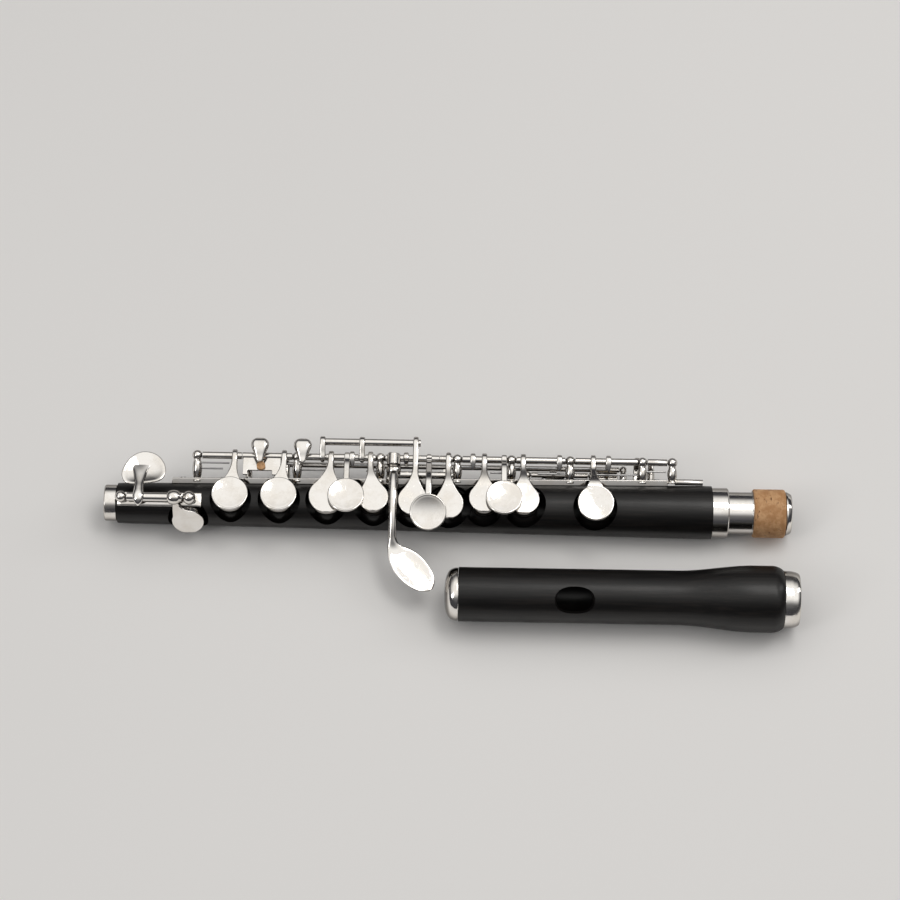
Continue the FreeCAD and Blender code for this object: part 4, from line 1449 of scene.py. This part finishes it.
    def leaf(self, x: float, radius: float, arm_x: float, angle: float, opened: bool = True) -> Leaf:
        """Gives a cup of the main rod."""
        line = self.layout.rod("main_pivot_rod")
        return Leaf(x, radius, arm_x, angle, line, -self.travel if opened else 0.0)

    def finish(self, bm: bmesh.types.BMesh, name: str) -> None:
        """Turns a key's mesh into its piece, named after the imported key."""
        finish_piece(name + "_metal", bm, KEY_SILVER, name + "_body", [name], 42.0)

    def main_keys(self) -> None:
        """Builds the keys that turn on the main rod."""
        main = self.layout.rod("main_pivot_rod")
        standing = self.place(main, -self.travel)
        keys = (
            ("d_key", self.leaf(39.8, 5.2, 40.75, 6), (30.45, 43.0), True, (), None),
            ("e_key", self.leaf(55.0, 5.2, 56.3, 6), (43.0, 58.75), True, (), None),
            ("f_key", self.leaf(70.1, 5.7, 71.0, 6), (69.35, 79.65), False, (77.6,), 76.05),
            ("f_sharp_key", self.leaf(84.6, 4.75, 83.4, 8), (81.75, 84.95), False, (), None),
            ("g_sharp_key", self.leaf(108.2, 4.6, 107.9, 14, False), (105.0, 109.15), False, (), None),
            ("a_key", self.leaf(119.2, 4.75, 119.2, 7), (112.25, 126.15), False, (115.6,), 125.4),
            ("b_flat_key", self.leaf(131.7, 4.75, 131.4, 9), (129.25, 144.65), False, (142.8,), None),
            ("c_key", self.leaf(154.0, 5.2, 153.4, 16), (147.75, 167.35), True, (158.2,), None))
        for name, leaf, tube, disc, tongues, touch in keys:
            bm = bmesh.new()
            self.add_leaf(bm, leaf)
            self.add_tube(bm, main, *tube)
            if disc:
                self.add_disc(bm, leaf.x, 0.0, self.top(leaf.x) - 0.02,
                              self.place(main, leaf.opened, leaf.angle))
            for x in tongues:
                self.add_tongue(bm, x, main, standing)
            if touch:
                self.add_side_touch(bm, touch, leaf)
            if name == "e_key":
                outline = [(43.4, 6.9), (44.8, 6.9), (44.8, 8.4), (52.6, 8.4), (52.6, 6.9), (55.2, 6.9),
                           (55.2, 13.3), (43.4, 13.3)]
                add_plate(bm, softened(outline, 0.3, 3), 7.5, 8.3, self.layout.along())
            self.finish(bm, name)

    def g_keys(self) -> None:
        """Builds the G cup on its upper bar, and the ring finger touch that closes it."""
        main = self.layout.rod("main_pivot_rod")
        standing = self.place(main, -self.travel)
        bar = (17.6, 10.3)
        leaf = Leaf(97.0, 4.7, 97.6, 14, bar)
        hinge_y, hinge_z = self.hinge(leaf)
        bm = bmesh.new()
        shift = standing @ self.place(bar, 0.0).inverted()
        cup = bmesh.new()
        self.add_leaf(cup, leaf, ((hinge_y - 6.2, hinge_z + 1.35), (hinge_y - 3.4, hinge_z + 1.6)))
        bmesh.ops.transform(cup, matrix=shift, verts=cup.verts)
        carrier = bmesh.new()
        profile = softened([(67.4, 0.0), (67.4, 1.1), (99.1, 1.1), (99.1, 0.0)], 0.15, closed=False)
        add_lathe(carrier, profile, standing @ Matrix.Translation(Vector((0, *bar))), 48, closed=False)
        for x in (68.3, 80.7):
            link = [Station(x, main[0] - 1.5, main[1] - 0.2, 0.5, 0.3, 0.28),
                    Station(x, main[0] - 1.2, main[1] + 1.0, 0.8, 0.42, 0.36),
                    Station(x, main[0] + 0.6, main[1] + 2.1, 0.88, 0.5, 0.42),
                    Station(x, bar[0] - 1.6, bar[1] + 0.7, 0.9, 0.55, 0.46),
                    Station(x, bar[0] - 0.4, bar[1] + 1.25, 0.9, 0.5, 0.42),
                    Station(x, bar[0] + 0.8, bar[1] + 0.95, 0.85, 0.45, 0.4),
                    Station(x, bar[0] + 1.4, bar[1] + 0.1, 0.6, 0.35, 0.3)]
            add_blade(carrier, link, standing)
        for tube in ((61.85, 69.35), (79.65, 81.75)):
            self.add_tube(carrier, main, *tube)
        joined_mesh = bpy.data.meshes.new("g_parts")
        for part in (cup, carrier):
            part.to_mesh(joined_mesh)
            bm.from_mesh(joined_mesh)
            part.free()
        bpy.data.meshes.remove(joined_mesh)
        self.finish(bm, "g_key")
        bm = bmesh.new()
        tilted = Leaf(101.8, self.disc_radius, 101.8, 30, main, -self.travel)
        place = self.place(main, -self.travel, 30)
        self.add_disc(bm, 101.8, -1.3, 11.45, place)
        y, z = self.hinge(tilted)
        arm = [Station(101.8, -4.0, 11.45, 0.85, 0.4, 0.3), Station(101.8, 2.0, 11.45, 0.9, 0.45, 0.3),
               Station(101.8, 5.6, 10.7, 0.9, 0.48, 0.3), Station(101.8, 9.6, 8.6, 0.9, 0.48, 0.3),
               Station(101.8, y - 1.2, z + 1.5, 0.9, 0.48, 0.3), Station(101.8, y + 0.6, z + 1.15, 0.85,
                                                                         0.45, 0.3),
               Station(101.8, y + 1.2, z + 0.5, 0.6, 0.3, 0.25)]
        add_blade(bm, arm, place)
        self.add_tube(bm, main, 88.05, 105.0)
        for x in (89.7, 94.6):
            self.add_tongue(bm, x, main, standing, 2.2)
        self.finish(bm, "g_touch")

    def side_keys(self) -> None:
        """Builds the thumb key and the trill keys, with their domed touches."""
        thumb = self.layout.rod("thumb_pivot_rod")
        leaf = Leaf(141.0, 4.9, 141.0, -105, thumb, 14.0, 0.85, 1.2, 1.5)
        bm = bmesh.new()
        self.add_leaf(bm, leaf)
        top = self.top(leaf.x)
        place = self.place(thumb, leaf.opened, leaf.angle)
        middle = top - 0.3
        outline = [(150.5 + 3.4 * math.cos(math.radians(a)), 1.0 + 3.4 * math.sin(math.radians(a)))
                   for a in range(-110, 111, 10)]
        outline += [(147.0, 3.0), (143.0, 2.6), (143.0, -1.2), (147.0, -1.6)]
        add_plate(bm, outline, middle - 0.3, middle + 0.3, place, 0.1)
        self.add_tube(bm, thumb, 134.0, 152.0, 0.85)
        self.finish(bm, "thumb_key")
        trills = (("trill_key_1", Leaf(158.2, 3.6, 158.2, -100, (13.7, 1.2), 0.0, 0.85, 0.9, 5.0), 48.7,
                   (46.0, 162.0), 16.4),
                  ("trill_key_2", Leaf(167.4, 3.6, 167.4, -103, (15.0, 4.1), 0.0, 0.85, 0.9, 5.0), 62.1,
                   (58.0, 170.6), 16.6))
        for name, leaf, x, tube, outer in trills:
            bm = bmesh.new()
            self.add_leaf(bm, leaf)
            self.add_tube(bm, leaf.line, *tube, 0.85)
            dome = [Station(x, 17.75, 11.2, 0.9, 0.5, 0.5), Station(x, 17.3, 11.35, 2.1, 1.0, 1.0),
                    Station(x, 16.3, 11.5, 2.75, 1.4, 1.4),
                    Station(x, 15.0, 11.45, 2.7, 1.45, 1.45), Station(x, 13.4, 11.15, 2.05, 1.2, 1.2),
                    Station(x, 11.9, 10.95, 1.4, 0.75, 0.75),
                    Station(x, 10.7, 10.8, 0.95, 0.45, 0.45), Station(x, 10.2, 10.75, 0.5, 0.3, 0.3)]
            add_blade(bm, dome, self.layout.along())
            y, z = leaf.line
            stem = [Station(x, 15.6, 11.0, 0.85, 0.5, 0.4), Station(x, outer - 0.1, 9.6, 0.85, 0.5, 0.4),
                    Station(x, outer, 7.5, 0.85, 0.5, 0.4), Station(x, outer, z + 1.6, 0.85, 0.5, 0.4),
                    Station(x, y + 0.9, z + 0.2, 0.85, 0.45, 0.4), Station(x, y + 0.3, z - 0.2, 0.7, 0.35,
                                                                           0.3)]
            add_blade(bm, stem, self.layout.along())
            self.finish(bm, name)

    def build(self) -> None:
        """Builds every leaf key."""
        self.main_keys()
        self.g_keys()
        self.side_keys()


@dataclass
class GSharpLever:
    """The little finger lever: a round shaft that flows into a dished spoon."""

    layout: Layout
    body: str = "g_sharp_lever_body"
    stations: tuple[tuple[float, ...], ...] = (
        (90.75, 8.6, 9.1, 1.5, 1.5), (90.75, 6.4, 10.0, 1.5, 1.35), (90.75, 3.2, 10.7, 1.42, 1.25),
        (90.75, -0.8, 10.75, 1.38, 1.2), (90.75, -5.0, 9.9, 1.32, 1.15), (90.75, -9.6, 7.9, 1.25, 1.05),
        (90.75, -13.2, 5.95, 1.3, 0.9), (91.3, -15.6, 4.8, 2.1, 0.65), (92.7, -17.8, 4.0, 3.6, 0.5),
        (94.9, -20.1, 3.4, 4.65, 0.45), (97.3, -22.5, 2.8, 4.95, 0.45), (99.6, -24.7, 2.2, 4.5, 0.45),
        (101.5, -26.6, 1.65, 3.4, 0.42), (102.6, -27.8, 1.35, 2.0, 0.4), (103.1, -28.4, 1.2, 0.6, 0.3))

    def sections(self) -> list[list[Vector]]:
        """Draws the lever's sections across its own line.

        Returns:
            The sections, from the root to the tip.
        """
        line = smooth_line(self.stations, 5)
        count = 28
        result = []
        for i, (x, y, z, half, thick) in enumerate(line):
            before, after = line[max(i - 1, 0)], line[min(i + 1, len(line) - 1)]
            ahead = Vector(after[:3]) - Vector(before[:3])
            across = ahead.cross(Vector((0, 0, 1))).normalized()
            above = across.cross(ahead).normalized()
            dish = 0.8 * max(0.0, (half - 1.6) / 3.3)
            section = []
            for k in range(count):
                a = 2 * math.pi * k / count
                c, s = math.cos(a), math.sin(a)
                bend = dish * (c * c - 0.55)
                section.append(Vector((x, y, z)) + across * (half * c) + above * (thick * s + bend))
            result.append(section)
        return result

    def build(self) -> None:
        """Builds the lever with its root ball, tube and tail."""
        rod = self.layout.rod("lever_pivot_rod")
        bm = bmesh.new()
        add_loft(bm, self.sections(), self.layout.along())
        finish_piece("lever_spoon", bm, KEY_SILVER, self.body, ["g_sharp_lever"], 70.0)
        bm = bmesh.new()
        ball = [(90.75 + 2.35 * math.sin(a), 2.35 * math.cos(a)) for a in
                [math.pi * (k / 24 - 0.5) for k in range(25)]]
        ball[0], ball[-1] = (88.4, 0.0), (93.1, 0.0)
        add_lathe(bm, ball, self.layout.along((8.8, 8.9)), 48, closed=False)
        block = softened([(9.2, 0.0), (9.2, 2.1), (12.8, 2.1), (12.8, 0.0)], 0.2, closed=False)
        quarter = Matrix.Rotation(math.radians(90), 4, "Z")
        add_lathe(bm, block, self.layout.along() @ Matrix.Translation(Vector((90.75, 0, 11.7))) @ quarter,
                  48, closed=False)
        tube = softened([(90.18, 0.56), (90.18, 1.1), (107.72, 1.1), (107.72, 0.56)], 0.1)
        add_lathe(bm, tube, self.layout.along(rod), 48)
        tail = [Vector((106.35, y, z)) for y,
                z in softened([(7.6, 5.4), (7.6, 6.2), (10.8, 6.2), (10.8, 5.4)], 0.25)]
        steps = [[point + Vector((shift, 0, 0)) for point in tail] for shift in (0.0, 1.3)]
        add_loft(bm, steps, self.layout.along())
        finish_piece("lever_tube", bm, KEY_SILVER, self.body)


@dataclass
class FootKey:
    """The foot key: kidney touch with a rolled edge, ridge arm, tube, knuckle and leaf cup."""

    layout: Layout
    keys: LeafKeys
    body: str = "d_sharp_key_body"
    kidney: tuple[Pair, ...] = ((11.6, 1.9), (8.5, 1.8), (6.4, 3.0), (5.8, 5.9), (7.2, 9.6), (9.8, 12.3),
                                (13.1, 13.2), (16.7, 12.0), (19.1, 8.9), (19.5, 5.5), (17.9, 3.2),
                                (14.8, 2.3))
    middle: Pair = (12.5, 7.4)

    def kidney_rings(self) -> list[list[Vector]]:
        """Draws the touch as rings from its dished middle over its rolled edge to its underside.

        Returns:
            The rings, from the middle outwards and under.
        """
        outline = smooth_line([*self.kidney, self.kidney[0]], 8)[:-1]
        rings = []
        rounds = ((0.12, -0.95), (0.3, -0.9), (0.5, -0.72), (0.68, -0.45), (0.82, -0.18), (0.91, 0.0),
                  (0.965, 0.02), (0.995, -0.12), (1.0, -0.4), (0.985, -0.68), (0.95, -0.85),
                  (0.8, -0.95), (0.5, -1.3), (0.15, -1.5))
        for share, rise in rounds:
            ring = []
            for x, y in outline:
                px = self.middle[0] + (x - self.middle[0]) * share
                py = self.middle[1] + (y - self.middle[1]) * share
                tilt = 0.045 * (self.middle[1] - py)
                ring.append(Vector((px, py, 10.75 + rise + tilt)))
            rings.append(ring)
        return rings

    def arm(self) -> list[list[Vector]]:
        """Draws the ridged arm from its point in front of the tube up to the touch.

        Returns:
            The sections.
        """
        y, z = self.layout.rod("foot_key_pivot_rod")
        line = smooth_line([(11.5, y - 2.9, z + 0.1, 0.35, 0.5), (11.5, y - 2.1, z + 0.9, 1.3, 0.8),
                            (11.5, y - 0.3, z + 1.55, 1.75, 1.0), (11.5, y + 2.4, z + 1.2, 1.5, 0.9),
                            (11.5, y + 5.0, z + 0.6, 1.5, 0.8), (11.5, 6.4, 10.1, 2.2, 0.75),
                            (11.6, 8.6, 9.7, 3.0, 0.5)], 5)
        sections = []
        for i, (px, py, pz, half, thick) in enumerate(line):
            before, after = line[max(i - 1, 0)], line[min(i + 1, len(line) - 1)]
            ahead = Vector(after[:3]) - Vector(before[:3])
            above = Vector((1, 0, 0)).cross(ahead).normalized()
            section = []
            for k in range(24):
                a = 2 * math.pi * k / 24
                section.append(Vector((px, py, pz)) + Vector((half * math.cos(a), 0, 0))
                               + above * (thick * math.sin(a)))
            sections.append(section)
        return sections

    def build(self) -> None:
        """Builds the foot key."""
        rod = self.layout.rod("foot_key_pivot_rod")
        place = self.layout.along()
        bm = bmesh.new()
        add_loft(bm, self.kidney_rings(), place)
        add_loft(bm, self.arm(), place)
        self.keys.add_leaf(bm, Leaf(26.6, 5.0, 23.0, 70, rod, 0.0, 1.4, 1.0, 3.6))
        finish_piece("foot_key_touch", bm, KEY_SILVER, self.body, ["d_sharp_key"], 80.0)
        bm = bmesh.new()
        tube = softened([(7.83, 0.56), (7.83, 1.4), (24.92, 1.4), (24.92, 0.56)], 0.12)
        add_lathe(bm, tube, self.layout.along(rod), 64)
        knuckle = smooth_line([(20.4, 1.38), (20.9, 1.9), (21.8, 2.25), (22.8, 2.3), (23.8, 2.1),
                               (24.5, 1.6), (24.8, 1.38)], 5)
        add_lathe(bm, knuckle, self.layout.along(rod), 64, closed=False)
        finish_piece("foot_key_tube", bm, KEY_SILVER, self.body)


@dataclass
class PackedNodes:
    """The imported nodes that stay: each takes its finish, and metal edges are eased."""

    edge: float = 0.00012

    def build(self) -> None:
        """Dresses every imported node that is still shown."""
        for name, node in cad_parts.items():
            finish = FINISH_OF_SLOT[node.data.materials[0].name]
            node.data.materials[0] = finish.material()
            if node.hide_render:
                continue
            if finish.slot is Slot.SILVER:
                self.ease(node)
            log.info("%s: packed node in %s", name, finish.name)

    def ease(self, node: bpy.types.Object) -> None:
        """Rounds a node's crisp edges with modifiers, and leaves its mesh as it is.

        Args:
            node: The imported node.
        """
        weld = node.modifiers.new("close_seams", "WELD")
        weld.merge_threshold = 0.000001
        bevel = node.modifiers.new("eased_edges", "BEVEL")
        bevel.width = self.edge
        bevel.segments = 2
        bevel.limit_method = "ANGLE"
        bevel.angle_limit = math.radians(35)
        bevel.harden_normals = True


# ------------------------------------------------------------------ studio


@dataclass
class Studio:
    """Camera, soft lights, pale surroundings and floor."""

    target: Triple = (-0.0003, 0.0302, 0.00845)
    distance: float = 0.963
    elevation: float = 65.0
    roll: float = 0.96
    lens: float = 121.2

    def camera(self) -> None:
        """Sets the camera above the front of the instrument."""
        data = bpy.data.cameras.new("camera")
        data.lens = self.lens
        data.clip_start = 0.01
        camera = bpy.data.objects.new("camera", data)
        rise = math.radians(self.elevation)
        back = Vector((0, -math.cos(rise), math.sin(rise)))
        camera.location = Vector(self.target) + back * self.distance
        look = (-back).to_track_quat("-Z", "Y").to_matrix().to_4x4()
        turn = look @ Matrix.Rotation(math.radians(self.roll), 4, "Z")
        camera.rotation_euler = turn.to_euler()
        bpy.context.scene.collection.objects.link(camera)
        bpy.context.scene.camera = camera

    def soft_light(self, name: str, place: Triple, size: Pair, power: float,
                   tint: Triple = (1, 1, 1)) -> None:
        """Hangs one rectangular soft light that faces the instrument.

        Args:
            name: Its name.
            place: Where it hangs.
            size: Its two sides.
            power: Its power.
            tint: Its colour.
        """
        data = bpy.data.lights.new(name, "AREA")
        data.shape = "RECTANGLE"
        data.size, data.size_y = size
        data.energy = power
        data.color = tint
        light = bpy.data.objects.new(name, data)
        light.location = place
        light.rotation_euler = (-Vector(place)).to_track_quat("-Z", "Y").to_euler()
        bpy.context.scene.collection.objects.link(light)

    def surroundings(self) -> None:
        """Lights the room: pale overhead, darker towards the horizon."""
        world = bpy.data.worlds.new("room")
        bpy.context.scene.world = world
        world.use_nodes = True
        world.node_tree.nodes.clear()
        graph = ShaderGraph(world.node_tree)
        split = graph.add("ShaderNodeSeparateXYZ")
        graph.put(split.inputs[0], graph.add("ShaderNodeTexCoord").outputs["Generated"])
        height = graph.span(split.outputs["Z"], 0.35, 0.85)
        front = graph.span(split.outputs["Y"], -0.7, -0.25, 0.12, 1.0)
        height = graph.sum("MULTIPLY", height, front)
        glow = graph.add("ShaderNodeBackground")
        graph.put(glow.inputs["Color"], graph.blend(height, (0.05, 0.05, 0.055, 1), (1.0, 0.985, 0.96, 1)))
        graph.put(glow.inputs["Strength"], 0.95)
        graph.put(graph.add("ShaderNodeOutputWorld").inputs["Surface"], glow.outputs[0])

    def floor(self) -> None:
        """Lays the plain pale floor."""
        bm = bmesh.new()
        bmesh.ops.create_grid(bm, x_segments=1, y_segments=1, size=3.0)
        mesh = bpy.data.meshes.new("floor")
        bm.to_mesh(mesh)
        bm.free()
        floor = bpy.data.objects.new("floor", mesh)
        material = bpy.data.materials.new("pale_floor")
        material.use_nodes = True
        graph = ShaderGraph(material.node_tree)
        shader = material.node_tree.nodes["Principled BSDF"]
        shade = graph.noise(graph.coordinates(), 3.0, 2.0)
        graph.put(shader.inputs["Base Color"], graph.blend(shade, (0.80, 0.79, 0.78, 1),
                                                           (0.84, 0.83, 0.82, 1)))
        shader.inputs["Roughness"].default_value = 0.85
        mesh.materials.append(material)
        bpy.context.scene.collection.objects.link(floor)

    def build(self) -> None:
        """Builds the studio."""
        self.camera()
        self.surroundings()
        self.floor()
        bpy.context.scene.view_settings.view_transform = "Standard"
        self.soft_light("overhead", (0.25, 0.15, 0.9), (0.5, 0.25), 1.6, (1.0, 0.985, 0.96))
        self.soft_light("left_front", (-0.7, -0.4, 0.7), (0.25, 0.4), 1.0)
        self.soft_light("right_back", (0.8, 0.3, 0.6), (0.2, 0.5), 0.9)


def main() -> None:
    """Builds the piccolo's looks in order."""
    logging.basicConfig(level=logging.INFO, format="%(name)s: %(message)s")
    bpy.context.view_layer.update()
    layout = Layout()
    wood = BodyWood(layout)
    keys = LeafKeys(layout, wood)
    for part in (wood, BodyRings(layout), LongRib(layout, wood), Posts(layout, wood), keys,
                 GSharpLever(layout), FootKey(layout, keys),
                 HeadJoint(layout), PackedNodes(), Studio()):
        part.build()
        log.info("built %s", type(part).__name__)
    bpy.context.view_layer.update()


if __name__ == "__main__":
    main()
